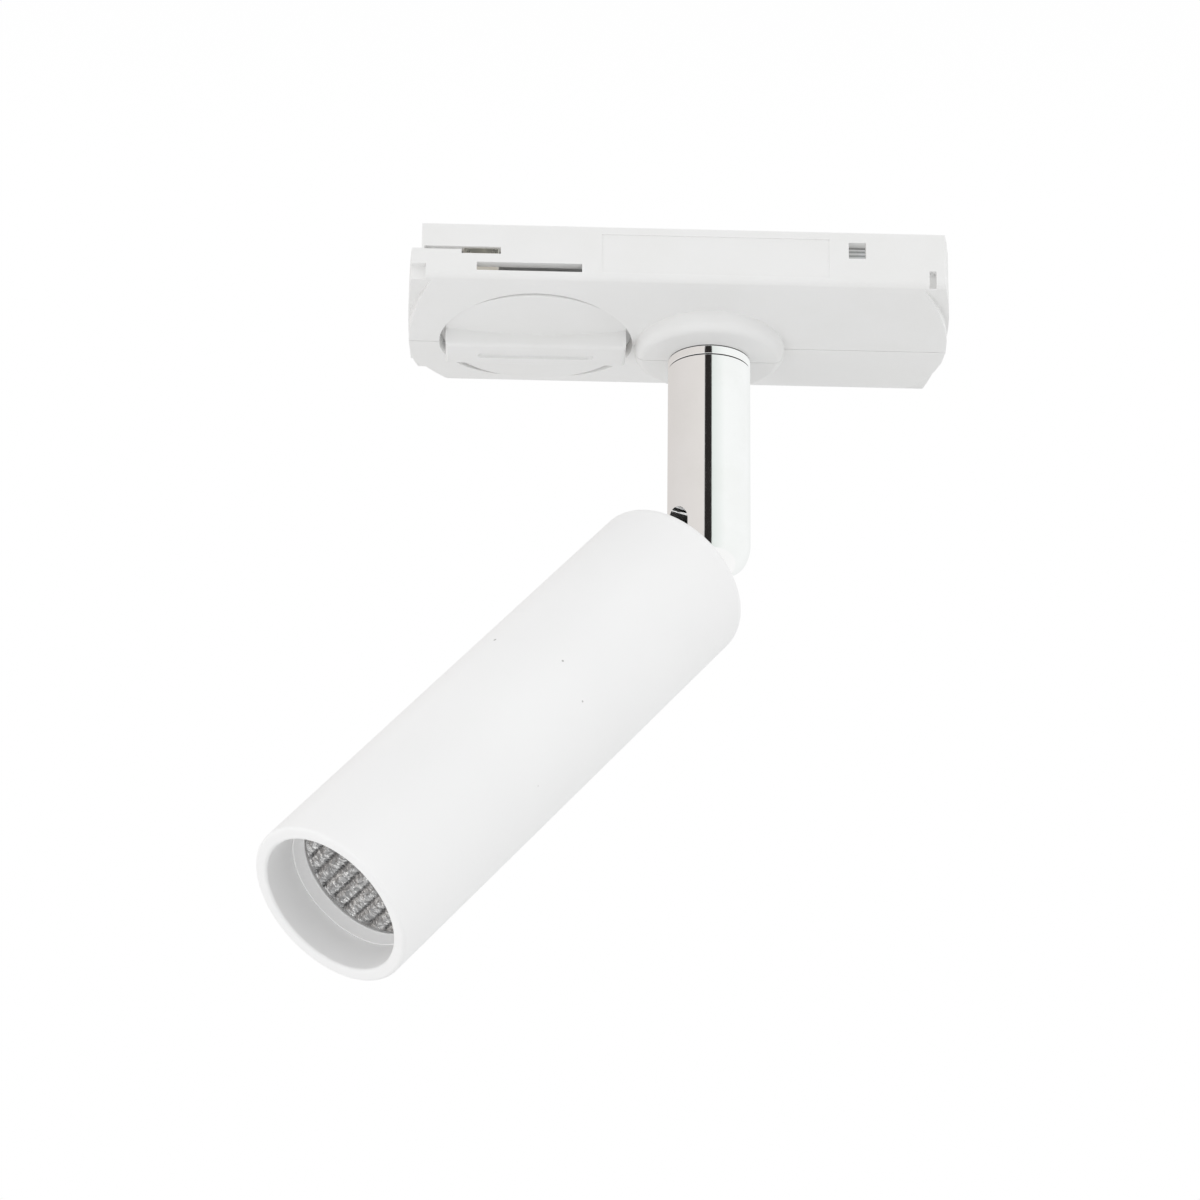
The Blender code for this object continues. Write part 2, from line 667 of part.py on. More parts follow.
def dial_knob(finish, axis):
    """Domed disc with a retaining flange, a grip bar and a socket for the shaft."""
    name = "dial_knob"
    radius = KNOB_RADIUS
    edge = HOUSING_BOTTOM + DIAL_DOME
    top = -FLOOR_TOP
    flange = DIAL_HOLE_RADIUS + DIAL_FLANGE - GAP
    dome_radius = (radius**2 + DIAL_DOME**2) / (2 * DIAL_DOME)
    reach = math.asin(radius / dome_radius)
    dome = arc((0.0, HOUSING_BOTTOM + dome_radius), dome_radius, -math.pi / 2, reach - math.pi / 2, 6)
    profile = [(0.0, top)] + dome
    profile += [(radius, edge + KNOB_EDGE), (radius, top - DIAL_FLANGE_THICKNESS)]
    profile += [(flange, top - DIAL_FLANGE_THICKNESS), (flange, top)]
    knob = add(name, turned(profile, ROUND, (DIAL_X, 0.0)), finish, origin=(DIAL_X, 0.0, 0.0))
    bar, groove = grip_bar(name)
    half = GRIP_LENGTH / 2
    far = radius + 1.0
    side = POCKET_HALF_WIDTH
    low = HOUSING_BOTTOM - 0.5
    high = top - DIAL_FLANGE_THICKNESS - POCKET_FLOOR
    pockets = [
        helper(name + "_right_pocket", box(DIAL_X + half, DIAL_X + far, -side, side, low, high)),
        helper(name + "_left_pocket", box(DIAL_X - far, DIAL_X - half, -side, side, low, high)),
    ]
    join(knob, bar)
    cut(knob, groove, *pockets)
    socket = disc(SHAFT_RADIUS + GAP, top + 1.0, top - SHAFT_REACH - GAP, SMALL_ROUND, (DIAL_X, 0.0))
    cut(knob, helper(name + "_socket", socket))
    knob.location = (0.0, 0.0, 0.0)
    knob.parent = axis
    return knob


def hang(obj, axis):
    """Keeps an object in place while it is parented to an axis."""
    obj.parent = axis
    obj.matrix_parent_inverse = Matrix.Translation(-axis.location)
    return obj


def lock_cam(finish, axis):
    """Flat plate on the shaft: a hub and one lobe, which points along the track when unlocked."""
    reach = CAM_RADIUS
    hub = SHAFT_RADIUS + HUB_WALL
    outline = arc((DIAL_X, 0.0), reach, -CAM_HALF_ANGLE, CAM_HALF_ANGLE, 8)
    outline += arc((DIAL_X, 0.0), hub, HUB_START, math.tau - HUB_START, 16)
    z0 = -CAM_DEPTH - CAM_THICKNESS / 2
    plate = add("lock_cam", prism(outline, z0, z0 + CAM_THICKNESS), finish)
    hole = disc(SHAFT_RADIUS + GAP, 0.0, -FLOOR_TOP - 1.0, SMALL_ROUND, (DIAL_X, 0.0))
    cut(plate, helper("cam_hole", hole))
    return hang(plate, axis)


def dial_shaft(finish, clip_finish, drive_finish, axis):
    """Shaft from the dial to the lid, with the drive disc of the contacts and its clip."""
    top = -COVER_THICKNESS - GAP
    centre = (DIAL_X, 0.0)
    shaft = disc(SHAFT_RADIUS, top, -FLOOR_TOP - SHAFT_REACH, SMALL_ROUND, centre)
    hang(add("dial_shaft", shaft, finish), axis)
    drive_top = -CONTACT_DEPTH - CONTACT_THICKNESS / 2 - GAP
    bore = SHAFT_RADIUS + GAP
    drive = ring(DRIVE_RADIUS, bore, drive_top - DRIVE_THICKNESS, drive_top, 32, centre)
    hang(add("contact_drive_disc", drive, drive_finish), axis)
    clip_top = top - GAP
    clip = ring(bore + CLIP_WALL, bore, clip_top - CLIP_THICKNESS, clip_top, SMALL_ROUND, centre)
    half = CLIP_GAP / 2
    gap_box = box(DIAL_X, DIAL_X + 2 * bore, -half, half, 0.0, -FLOOR_TOP)
    circlip = add("dial_clip", clip, clip_finish)
    cut(circlip, helper("clip_gap", gap_box))
    hang(circlip, axis)


def contact_blades(finish):
    """A flat contact tongue behind each contact slot, drawn in while the dial is unlocked."""
    left, right = contact_place()
    outer = HALF_WIDTH - GAP
    z0 = -CONTACT_DEPTH - CONTACT_THICKNESS / 2
    for name, side in (("live_contact", -1), ("neutral_contact", 1)):
        ends = sorted((side * outer, side * (outer - CONTACT_LENGTH)))
        shape = box(left, right, *ends, z0, z0 + CONTACT_THICKNESS)
        add(name, shape, finish)


def swivel(plastic, steel, chrome, axis):
    """Bush, washer, nut, hollow nipple and reveal ring on the swivel axis."""
    inner = NIPPLE_RADIUS + GAP
    outer = inner + BUSH_WALL
    seat = -FLOOR_TOP + GAP
    top = seat + FLANGE_THICKNESS
    low = ROSETTE_FACE + GAP
    profile = [(inner, low), (outer, low), (outer, seat), (FLANGE_RADIUS, seat)]
    profile += [(FLANGE_RADIUS, top), (inner, top)]
    add("swivel_bush", turned(profile, 32), plastic)
    washer_low = top + GAP
    washer_top = washer_low + WASHER_THICKNESS
    washer = ring(FLANGE_RADIUS, inner, washer_low, washer_top, 32)
    add("swivel_washer", washer, steel, axis)
    nut_low = washer_top + GAP / 2
    nut = add("nipple_nut", disc(NUT_RADIUS, nut_low, nut_low + NUT_THICKNESS, 6), steel, axis)
    hole = disc(inner, 0.0, -FLOOR_TOP, 32)
    cut(nut, helper("nut_hole", hole, axis))
    nipple = ring(NIPPLE_RADIUS, NIPPLE_BORE, STEM_TOP - NIPPLE_GRIP, nut_low + NUT_THICKNESS, 32)
    add("hollow_nipple", nipple, steel, axis)
    reveal = ring(STEM_RADIUS, inner, RING_TOP - RING_HEIGHT, RING_TOP)
    add("reveal_ring", reveal, chrome, axis)


def stem_profile():
    """Half section of the stem: two bores and a round nose about the tilt pivot."""
    wide = NIPPLE_RADIUS + GAP
    step = STEM_TOP - NIPPLE_GRIP - GAP
    nose = arc((0.0, PIVOT_Z), STEM_RADIUS, 0.0, -math.pi / 2, 8)
    floor = PIVOT_Z + FORK_DEPTH - 2.0
    profile = [(wide, STEM_TOP), (STEM_RADIUS, STEM_TOP)] + nose
    return profile + [(0.0, floor), (NIPPLE_BORE, floor), (NIPPLE_BORE, step), (wide, step)]


def stem_tube(finish, axis):
    """Chrome stem with a fork at its lower end."""
    stem = add("stem", turned(stem_profile()), finish, axis)
    half = FORK_WIDTH / 2
    far = STEM_RADIUS + 1.0
    crest = PIVOT_Z + FORK_DEPTH - half
    section = arc((0.0, crest), half, 0.0, math.pi, 12)
    section += [(-half, PIVOT_Z - far), (half, PIVOT_Z - far)]
    cut(stem, helper("fork_slot", extruded_section(section, -far, far), axis))
    centre = (0.0, 0.0, PIVOT_Z)
    blind_end = PIVOT_REACH + GAP
    hole = rod(PIVOT_RADIUS + GAP, -far, blind_end, "Y", 18, centre)
    seat = rod(PIVOT_HEAD_RADIUS + GAP, -far, -PIVOT_SEAT, "Y", 22, centre)
    cut(stem, helper("pivot_hole", hole, axis), helper("pivot_seat", seat, axis))


def tilt_pivot(steel, plastic, axis):
    """Screw from the back cheek into the blind front cheek, and two friction washers."""
    centre = (0.0, 0.0, PIVOT_Z)
    seat = -PIVOT_SEAT - GAP / 2
    end = seat - PIVOT_HEAD_HEIGHT
    shank = rod(PIVOT_RADIUS, seat - 0.1, PIVOT_REACH, "Y", SMALL_ROUND, centre)
    screw_body = add("pivot_screw", shank, steel, axis)
    head = rod(PIVOT_HEAD_RADIUS, end, seat, "Y", SMALL_ROUND, centre)
    join(screw_body, helper("pivot_head", head, axis))
    key = rod(PIVOT_KEY_RADIUS, end - 1.0, end + PIVOT_KEY_DEPTH, "Y", 6, centre)
    cut(screw_body, helper("pivot_key", key, axis))
    inner = TONGUE_WIDTH / 2 + GAP
    outer = FORK_WIDTH / 2 - GAP
    for name, side in (("tilt_washer_1", 1), ("tilt_washer_2", -1)):
        ends = sorted((side * inner, side * outer))
        washer = add(name, rod(TILT_WASHER_RADIUS, *ends, "Y", 24, centre), plastic, axis)
        hole = rod(PIVOT_RADIUS + GAP, -STEM_RADIUS, STEM_RADIUS, "Y", 12, centre)
        cut(washer, helper(name + "_hole", hole, axis))


def head_end():
    """Distance from the pivot to the front lip."""
    return HEAD_START + HEAD_LENGTH


def head_tube(finish, axis):
    """Round can: rounded closed rear, rounded front lip."""
    front = head_end()
    quarter = math.pi / 2
    rear = arc((HEAD_RADIUS - REAR_EDGE, HEAD_START + REAR_EDGE), REAR_EDGE, -quarter, 0, 5)
    lip = arc((HEAD_RADIUS - LIP_EDGE, front - LIP_EDGE), LIP_EDGE, 0, quarter, 4)
    lip += arc((HEAD_BORE + LIP_EDGE, front - LIP_EDGE), LIP_EDGE, quarter, 2 * quarter, 4)
    inside = HEAD_START + REAR_WALL
    profile = [(REAR_HOLE, HEAD_START)] + rear + lip + [(HEAD_BORE, inside), (REAR_HOLE, inside)]
    can = add("head_tube", turned(profile), finish, axis)
    for number, side in enumerate((-1, 1)):
        place = (0.0, side * BRACKET_SCREW_SPREAD)
        hole = disc(SCREW_RADIUS + GAP, inside + 1.0, HEAD_START + BRACKET_SCREW_TIP, 12, place)
        cut(can, helper(f"rear_screw_hole_{number}", hole, axis))
    return can


def tilt_bracket(finish, screw_finish, axis):
    """Flange inside the rear wall, with a tongue that reaches the pivot."""
    low = HEAD_START + REAR_WALL + GAP
    high = low + BRACKET_THICKNESS
    flange = add("tilt_bracket", disc(BRACKET_RADIUS, low, high, 32), finish, axis)
    end = arc((0.0, 0.0), TONGUE_RADIUS, math.pi, math.tau, 12)
    outline = end + [(TONGUE_RADIUS, low + TONGUE_ROOT), (-TONGUE_RADIUS, low + TONGUE_ROOT)]
    half = TONGUE_WIDTH / 2
    tongue = prism(outline, -half, half)
    for vert in tongue.verts:
        x, z, y = vert.co
        vert.co = (x, y, z)
    hole = rod(PIVOT_RADIUS + GAP, -half - 1, half + 1, "Y", SMALL_ROUND)
    join(flange, helper("tongue", tongue, axis))
    cut(flange, helper("tongue_hole", hole, axis))
    for number, side in enumerate((-1, 1)):
        place = (0.0, side * BRACKET_SCREW_SPREAD)
        through = disc(SCREW_RADIUS + GAP, low - 1.0, high + 1.0, 12, place)
        cut(flange, helper(f"bracket_hole_{number}", through, axis))
        top = high + GAP / 2 + SCREW_HEAD_HEIGHT
        length = top - HEAD_START - BRACKET_SCREW_TIP - GAP
        screw(f"bracket_screw_{number + 1}", place, top, length, screw_finish, axis)
    return high + SCREW_HEAD_HEIGHT + GAP


def driver(start, plastic, board_finish, copper, dark, axis):
    """Insulating sleeve, circuit board, choke and capacitor. Returns where board and sleeve end."""
    outer = HEAD_BORE - GAP
    board_end = start + SLEEVE_OVERHANG + BOARD_LENGTH
    end = board_end + SLEEVE_OVERHANG
    add("insulating_sleeve", ring(outer, outer - SLEEVE_WALL, start, end, 32), plastic, axis)
    low = BOARD_UNDERSIDE
    high = low + BOARD_THICKNESS
    half = BOARD_WIDTH / 2
    board = box(-half, half, low, high, start + SLEEVE_OVERHANG, board_end)
    add("driver_board", board, board_finish, axis)
    seat = high + GAP
    side = CHOKE_SIDE / 2
    choke_ends = (start + CHOKE_START, start + CHOKE_START + CHOKE_LENGTH)
    choke = box(-side, side, seat, seat + CHOKE_HEIGHT, *choke_ends)
    add("driver_choke", choke, copper, axis)
    radius = CAPACITOR_RADIUS
    can_ends = (start + CAPACITOR_START, start + CAPACITOR_START + CAPACITOR_LENGTH)
    can = disc(radius, *can_ends, SMALL_ROUND, (0.0, seat + radius))
    add("driver_capacitor", can, dark, axis)
    return board_end, end


def heat_sink(start, finish, axis):
    """Turned slug with ring fins and a bore for the leads."""
    outer = HEAD_BORE - GAP
    end = start + SINK_LENGTH
    pitch = SINK_LENGTH / (2 * SINK_FINS - 1)
    bore = LEAD_RADIUS + 2 * GAP
    profile = [(bore, start)]
    for fin in range(SINK_FINS):
        fin_low = start + 2 * fin * pitch
        if fin:
            profile += [(SINK_CORE, fin_low)]
        profile += [(outer, fin_low), (outer, fin_low + pitch)]
        if fin < SINK_FINS - 1:
            profile += [(SINK_CORE, fin_low + pitch)]
    profile += [(bore, end)]
    add("heat_sink", turned(profile, 32), finish, axis)
    return end


def light_engine(start, board_finish, emitter_finish, holder_finish, lens_finish, axis):
    """LED board, emitter, lens holder, lens and retaining ring behind the front recess."""
    outer = HEAD_BORE - GAP
    board_top = start + GAP + LED_BOARD_THICKNESS
    add("led_board", disc(LED_BOARD_RADIUS, start + GAP, board_top, 32), board_finish, axis)
    emitter_low = board_top + GAP / 2
    emitter = disc(EMITTER_RADIUS, emitter_low, emitter_low + EMITTER_THICKNESS, 24)
    add("led_emitter", emitter, emitter_finish, axis)
    face = head_end() - LENS_RECESS
    rim_low = face - LENS_FLANGE
    holder = ring(outer, LENS_RIM_RADIUS - HOLDER_SEAT, board_top + GAP, rim_low - GAP, 32)
    add("lens_holder", holder, holder_finish, axis)
    neck = face - LENS_LENGTH
    waist = LENS_RIM_RADIUS - WAIST_STEP
    pocket = EMITTER_RADIUS + POCKET_MARGIN
    roof = neck + POCKET_DEPTH
    profile = [(0.0, face), (0.0, roof), (pocket - 2 * GAP, roof), (pocket, neck)]
    flare = neck + NECK_FLARE
    profile += [(pocket + POCKET_MARGIN, neck), (pocket + WALL, flare), (waist, rim_low - WALL)]
    profile += [(waist, rim_low), (LENS_RIM_RADIUS, rim_low), (LENS_RIM_RADIUS, face)]
    add("lens", turned(profile, 32), lens_finish, axis)
    low = face + GAP
    retainer = [(RING_OPENING, low), (outer, low), (outer, low + RETAINER_LENGTH)]
    retainer += [(outer - RETAINER_BEVEL, low + RETAINER_LENGTH)]
    add("retaining_ring", turned(retainer), holder_finish, axis)


def leads(board_end, sink_end, white, dark, head_axis):
    """Supply lead down the swivel axis, and the lead from the driver to the LED board."""
    low = PIVOT_Z + FORK_DEPTH + 2.0
    route = [(10.6, 0.0, -4.4), (7.6, 0.0, -3.2), (3.2, 0.0, -2.5), (0.4, 0.0, -3.4)]
    route += [(0.0, 0.0, -6.5), (0.0, 0.0, -16.0), (0.0, 0.0, low)]
    cable("supply_lead", route, LEAD_RADIUS, white)
    route = [(0.0, -0.5, board_end + GAP), (0.0, -0.3, board_end + 1.0)]
    route += [(0.0, 0.0, board_end + SLEEVE_OVERHANG), (0.0, 0.0, sink_end)]
    cable("led_lead", route, LEAD_RADIUS, dark, head_axis)


def build():
    clear_scene()
    white_plastic = material("white_plastic", (0.83, 0.83, 0.83), 0.45)
    dial_plastic = material("dial_plastic", (0.80, 0.80, 0.80), 0.42)
    inner_plastic = material("inner_plastic", (0.62, 0.62, 0.60), 0.5)
    black_plastic = material("black_plastic", (0.03, 0.03, 0.03), 0.5)
    white_paint = material("white_paint", (0.86, 0.86, 0.86), 0.5)
    chrome = material("chrome", (0.85, 0.85, 0.86), 0.08, 1.0)
    steel = material("steel", (0.60, 0.60, 0.60), 0.3, 1.0)
    brass = material("brass", (0.72, 0.52, 0.22), 0.3, 1.0)
    aluminium = material("aluminium", (0.70, 0.71, 0.72), 0.4, 1.0)
    board_green = material("circuit_board", (0.04, 0.20, 0.10), 0.5)
    copper = material("copper", (0.70, 0.33, 0.18), 0.4, 1.0)
    phosphor = material("emitter_yellow", (0.90, 0.72, 0.20), 0.4)
    lens_grey = material("lens_grey", (0.45, 0.45, 0.46), 0.2, 0.6)

    housing_half("housing_front", -1, white_plastic)
    housing_half("housing_back", 1, white_plastic)
    top_cover(inner_plastic, steel)
    terminal_block(inner_plastic, brass)
    earth_springs(steel)

    dial_axis = empty("dial_axis", (DIAL_X, 0.0, 0.0))
    dial_knob(dial_plastic, dial_axis)
    lock_cam(steel, dial_axis)
    dial_shaft(inner_plastic, steel, inner_plastic, dial_axis)
    contact_blades(brass)

    stem_axis = empty("stem_axis", (0.0, 0.0, 0.0), (0.0, 0.0, HEAD_TURN))
    swivel(inner_plastic, steel, chrome, stem_axis)
    stem_tube(chrome, stem_axis)
    tilt_pivot(steel, black_plastic, stem_axis)

    head_axis = empty("head_axis", (0.0, 0.0, PIVOT_Z), (0.0, math.pi / 2 + HEAD_TILT, HEAD_TURN))
    head_tube(white_paint, head_axis)
    driver_start = tilt_bracket(white_paint, steel, head_axis) + GAP
    finishes = (inner_plastic, board_green, copper, black_plastic)
    board_end, sleeve_end = driver(driver_start, *finishes, head_axis)
    sink_end = heat_sink(sleeve_end + GAP, aluminium, head_axis)
    light_engine(sink_end, aluminium, phosphor, inner_plastic, lens_grey, head_axis)
    leads(board_end, sink_end, white_plastic, black_plastic, head_axis)


build()
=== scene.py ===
"""Looks of the track spotlight: finishes, detailed pieces, studio and camera."""

import json
import logging
import math
from dataclasses import dataclass, field
from enum import Enum
from typing import Callable, Sequence

import bmesh
import bpy
from mathutils import Matrix, Vector, noise


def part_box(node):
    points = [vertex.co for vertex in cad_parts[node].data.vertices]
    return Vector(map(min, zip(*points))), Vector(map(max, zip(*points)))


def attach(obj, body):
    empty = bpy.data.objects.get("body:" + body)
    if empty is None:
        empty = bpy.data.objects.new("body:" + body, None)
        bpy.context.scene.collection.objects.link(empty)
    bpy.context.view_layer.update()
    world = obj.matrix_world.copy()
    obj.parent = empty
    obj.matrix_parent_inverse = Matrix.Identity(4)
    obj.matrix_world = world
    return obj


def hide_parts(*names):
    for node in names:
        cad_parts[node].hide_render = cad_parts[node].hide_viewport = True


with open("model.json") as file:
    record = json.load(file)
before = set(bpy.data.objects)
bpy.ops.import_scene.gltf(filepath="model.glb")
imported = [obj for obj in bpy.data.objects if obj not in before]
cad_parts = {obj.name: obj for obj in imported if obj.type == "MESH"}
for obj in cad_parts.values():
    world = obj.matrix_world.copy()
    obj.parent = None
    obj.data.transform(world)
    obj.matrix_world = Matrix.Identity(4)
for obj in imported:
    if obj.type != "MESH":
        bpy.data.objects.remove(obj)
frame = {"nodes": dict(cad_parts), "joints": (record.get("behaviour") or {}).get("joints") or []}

MM = 0.001
WHITE = (1.0, 1.0, 1.0)
log = logging.getLogger("track_spotlight")

Colour = tuple[float, float, float]
Point = tuple[float, float]
Socket = bpy.types.NodeSocket


# ---------------------------------------------------------------- shader nodes


class Wiring:
    """Adds and joins the nodes of one tree."""

    def __init__(self, tree: bpy.types.NodeTree) -> None:
        """Starts on an emptied tree.

        Args:
            tree: the node tree that takes the nodes.
        """
        self.tree = tree
        tree.nodes.clear()

    def add(self, kind: str, settings: dict | None = None, **inputs) -> bpy.types.Node:
        """Adds one node.

        Args:
            kind: the node's class name after ShaderNode, or NodeGroupInput and the like.
            settings: properties to set on the node.
            inputs: socket values or sockets to join, with _ for a space.

        Returns:
            The new node.
        """
        made = self.tree.nodes.new(kind if kind.startswith("Node") else "ShaderNode" + kind)
        for name, value in (settings or {}).items():
            setattr(made, name, value)
        for name, value in inputs.items():
            self.feed(made, name.replace("_", " "), value)
        return made

    def feed(self, target: bpy.types.Node, socket: str | int, value) -> None:
        """Sets a socket's value, or joins another socket to it.

        Args:
            target: the node that receives.
            socket: the input's name or index.
            value: a number, a colour or an output socket.
        """
        place = target.inputs[socket]
        if isinstance(value, bpy.types.NodeSocket):
            self.tree.links.new(value, place)
        elif place.type == "RGBA" and len(value) == 3:
            place.default_value = (*value, 1.0)
        else:
            place.default_value = value

    def maths(self, operation: str, *values, clamp: bool = False) -> Socket:
        """Adds a Math node.

        Args:
            operation: the node's operation.
            values: numbers or sockets for its inputs, in order.
            clamp: whether the result is kept between 0 and 1.

        Returns:
            The node's result.
        """
        made = self.add("Math", {"operation": operation, "use_clamp": clamp})
        for index, value in enumerate(values):
            self.feed(made, index, value)
        return made.outputs[0]

    def band(self, value, low: float, high: float, start: float = 0.0, end: float = 1.0) -> Socket:
        """Maps a value smoothly from low..high to start..end.

        Args:
            value: the socket to map.
            low: value that gives start.
            high: value that gives end.
            start: result at low.
            end: result at high.

        Returns:
            The mapped value.
        """
        made = self.add("MapRange", {"interpolation_type": "SMOOTHSTEP"})
        for index, number in enumerate((value, low, high, start, end)):
            self.feed(made, index, number)
        return made.outputs[0]

    def blend(self, share, first, second) -> Socket:
        """Mixes two colours.

        Args:
            share: how much of the second colour, as a number or socket.
            first: colour or socket where share is 0.
            second: colour or socket where share is 1.

        Returns:
            The mixed colour.
        """
        made = self.add("Mix", {"data_type": "RGBA"})
        self.feed(made, 0, share)
        self.feed(made, 6, first)
        self.feed(made, 7, second)
        return made.outputs[2]

    def place(self, scale: Sequence[float] = (1, 1, 1), turn: Sequence[float] = (0, 0, 0)) -> Socket:
        """Object coordinates through a Mapping node.

        Args:
            scale: stretch of the pattern along each axis.
            turn: turn of the pattern, in radians.

        Returns:
            The mapped coordinates.
        """
        where = self.add("TexCoord").outputs["Object"]
        mapped = self.add("Mapping", Vector=where)
        mapped.inputs["Scale"].default_value = scale
        mapped.inputs["Rotation"].default_value = turn
        return mapped.outputs[0]


Filler = Callable[[Wiring, dict], dict]


class Effect(Enum):
    """Surface effects that several finishes share, each one node group."""

    GRAIN = "mould_grain"
    EDGES = "edge_highlight_and_wear"
    DUST_AND_SHADE = "dust_and_recess_shade"
    SPECKS = "coat_specks"
    SCRATCHES = "fine_scratches"


class EffectLibrary:
    """Builds each shared effect once and places it in materials."""

    def __init__(self) -> None:
        """Builds the groups."""
        self.groups: dict[Effect, bpy.types.NodeTree] = {}
        self.build(Effect.GRAIN, {"Scale": 1500.0}, ("Height", "Mottle"), self.grain)
        self.build(Effect.EDGES, {"Width": 0.0003}, ("Mask",), self.edges)
        self.build(Effect.DUST_AND_SHADE, {"Reach": 0.002}, ("Mask",), self.dust_and_shade)
        self.build(Effect.SPECKS, {"Scale": 260.0, "Share": 0.06}, ("Mask",), self.specks)
        self.build(Effect.SCRATCHES, {"Scale": 900.0}, ("Height", "Mask"), self.scratches)

    def build(self, effect: Effect, inputs: dict[str, float], outputs: Sequence[str], fill: Filler) -> None:
        """Makes one group with named sockets.

        Args:
            effect: which effect it is.
            inputs: names and default values of its number inputs.
            outputs: names of its number outputs.
            fill: adds the nodes and returns the socket for each output.
        """
        tree = bpy.data.node_groups.new(effect.value, "ShaderNodeTree")
        for name, value in inputs.items():
            made = tree.interface.new_socket(name, in_out="INPUT", socket_type="NodeSocketFloat")
            made.default_value = value
        for name in outputs:
            tree.interface.new_socket(name, in_out="OUTPUT", socket_type="NodeSocketFloat")
        wiring = Wiring(tree)
        given = wiring.add("NodeGroupInput").outputs
        results = fill(wiring, {name: given[name] for name in inputs})
        wiring.add("NodeGroupOutput", None, **results)
        self.groups[effect] = tree

    def use(self, wiring: Wiring, effect: Effect, **values) -> bpy.types.Node:
        """Places an effect in a material.

        Args:
            wiring: the material's wiring.
            effect: which effect.
            values: its inputs.

        Returns:
            The group node.
        """
        return wiring.add("Group", {"node_tree": self.groups[effect]}, **values)

    @staticmethod
    def grain(wiring: Wiring, given: dict) -> dict:
        """Spark-eroded mould texture with a slow change of tone."""
        where = wiring.place()
        fine = wiring.add("TexNoise", None, Vector=where, Scale=given["Scale"], Detail=3.0, Roughness=0.6)
        slow_scale = wiring.maths("MULTIPLY", given["Scale"], 0.05)
        slow = wiring.add("TexNoise", None, Vector=where, Scale=slow_scale, Detail=4.0, Roughness=0.55)
        return {"Height": fine.outputs[0], "Mottle": wiring.band(slow.outputs[0], 0.35, 0.65)}

    @staticmethod
    def edges(wiring: Wiring, given: dict) -> dict:
        """Where the surface bends over an outer or inner edge."""
        soft = wiring.add("Bevel", {"samples": 6}, Radius=given["Width"])
        true = wiring.add("NewGeometry").outputs["Normal"]
        dot = wiring.add("VectorMath", {"operation": "DOT_PRODUCT"})
        wiring.feed(dot, 0, soft.outputs[0])
        wiring.feed(dot, 1, true)
        return {"Mask": wiring.band(dot.outputs["Value"], 0.995, 0.93)}

    @staticmethod
    def dust_and_shade(wiring: Wiring, given: dict) -> dict:
        """Dust on what faces up, and painted shade in recesses from ambient occlusion, in patches."""
        shade = wiring.add("AmbientOcclusion", {"samples": 6}, Distance=given["Reach"])
        # Painted shade: ambient occlusion darkens the recesses.
        hollow = wiring.band(shade.outputs["AO"], 0.75, 0.25)
        facing = wiring.add("NewGeometry").outputs["Normal"]
        up = wiring.add("SeparateXYZ", None, Vector=facing).outputs["Z"]
        lying = wiring.band(up, 0.3, 1.0, 0.0, 0.35)
        patch = wiring.add("TexNoise", None, Vector=wiring.place(), Scale=420.0, Detail=5.0, Roughness=0.65)
        both = wiring.maths("ADD", hollow, lying, clamp=True)
        return {"Mask": wiring.maths("MULTIPLY", both, wiring.band(patch.outputs[0], 0.3, 0.7), clamp=True)}

    @staticmethod
    def specks(wiring: Wiring, given: dict) -> dict:
        """Sparse small dots, a few to the square centimetre."""
        cells = wiring.add("TexVoronoi", None, Vector=wiring.place(), Scale=given["Scale"])
        dot = wiring.band(cells.outputs["Distance"], 0.09, 0.05)
        pick = wiring.add("SeparateColor", None, Color=cells.outputs["Color"]).outputs[0]
        chosen = wiring.maths("LESS_THAN", pick, given["Share"])
        return {"Mask": wiring.maths("MULTIPLY", dot, chosen)}

    @staticmethod
    def scratches(wiring: Wiring, given: dict) -> dict:
        """Fine marks that run round and along a metal piece."""
        height = None
        for turn, stretch in ((0.35, (1.0, 14.0, 1.0)), (-0.5, (12.0, 1.0, 1.0))):
            where = wiring.place(stretch, (turn, 0.2, turn))
            lines = wiring.add("TexNoise", None, Vector=where, Scale=given["Scale"], Detail=2.0)
            line = wiring.band(lines.outputs[0], 0.62, 0.72)
            height = line if height is None else wiring.maths("MAXIMUM", height, line)
        return {"Height": height, "Mask": height}


EFFECTS = EffectLibrary()


# ---------------------------------------------------------------- finishes


def blank(name: str) -> tuple[bpy.types.Material, Wiring]:
    """Makes an empty node material.

    Args:
        name: its name.

    Returns:
        The material and its wiring.
    """
    made = bpy.data.materials.new(name)
    made.use_nodes = True
    return made, Wiring(made.node_tree)


class Finish:
    """What every finish shares: a material with a Principled shader at its end."""

    name: str

    def start(self) -> tuple[bpy.types.Material, Wiring, bpy.types.Node]:
        """Makes an empty material with its shader joined to the output.

        Returns:
            The material, its wiring and its Principled shader.
        """
        made, wiring = blank(self.name)
        shader = wiring.add("BsdfPrincipled")
        wiring.add("OutputMaterial", None, Surface=shader.outputs[0])
        return made, wiring, shader

    @staticmethod
    def bump(wiring: Wiring, shader: bpy.types.Node, height, depth: float, distance: float) -> None:
        """Joins a height to the shader's normal.

        Args:
            wiring: the material's wiring.
            shader: its Principled shader.
            height: the height socket.
            depth: strength of the bump.
            distance: full height of the bump, in metres.
        """
        made = wiring.add("Bump", None, Height=height, Strength=depth, Distance=distance)
        wiring.feed(shader, "Normal", made.outputs[0])

    def material(self) -> bpy.types.Material:
        """The finish as a material."""
        raise NotImplementedError


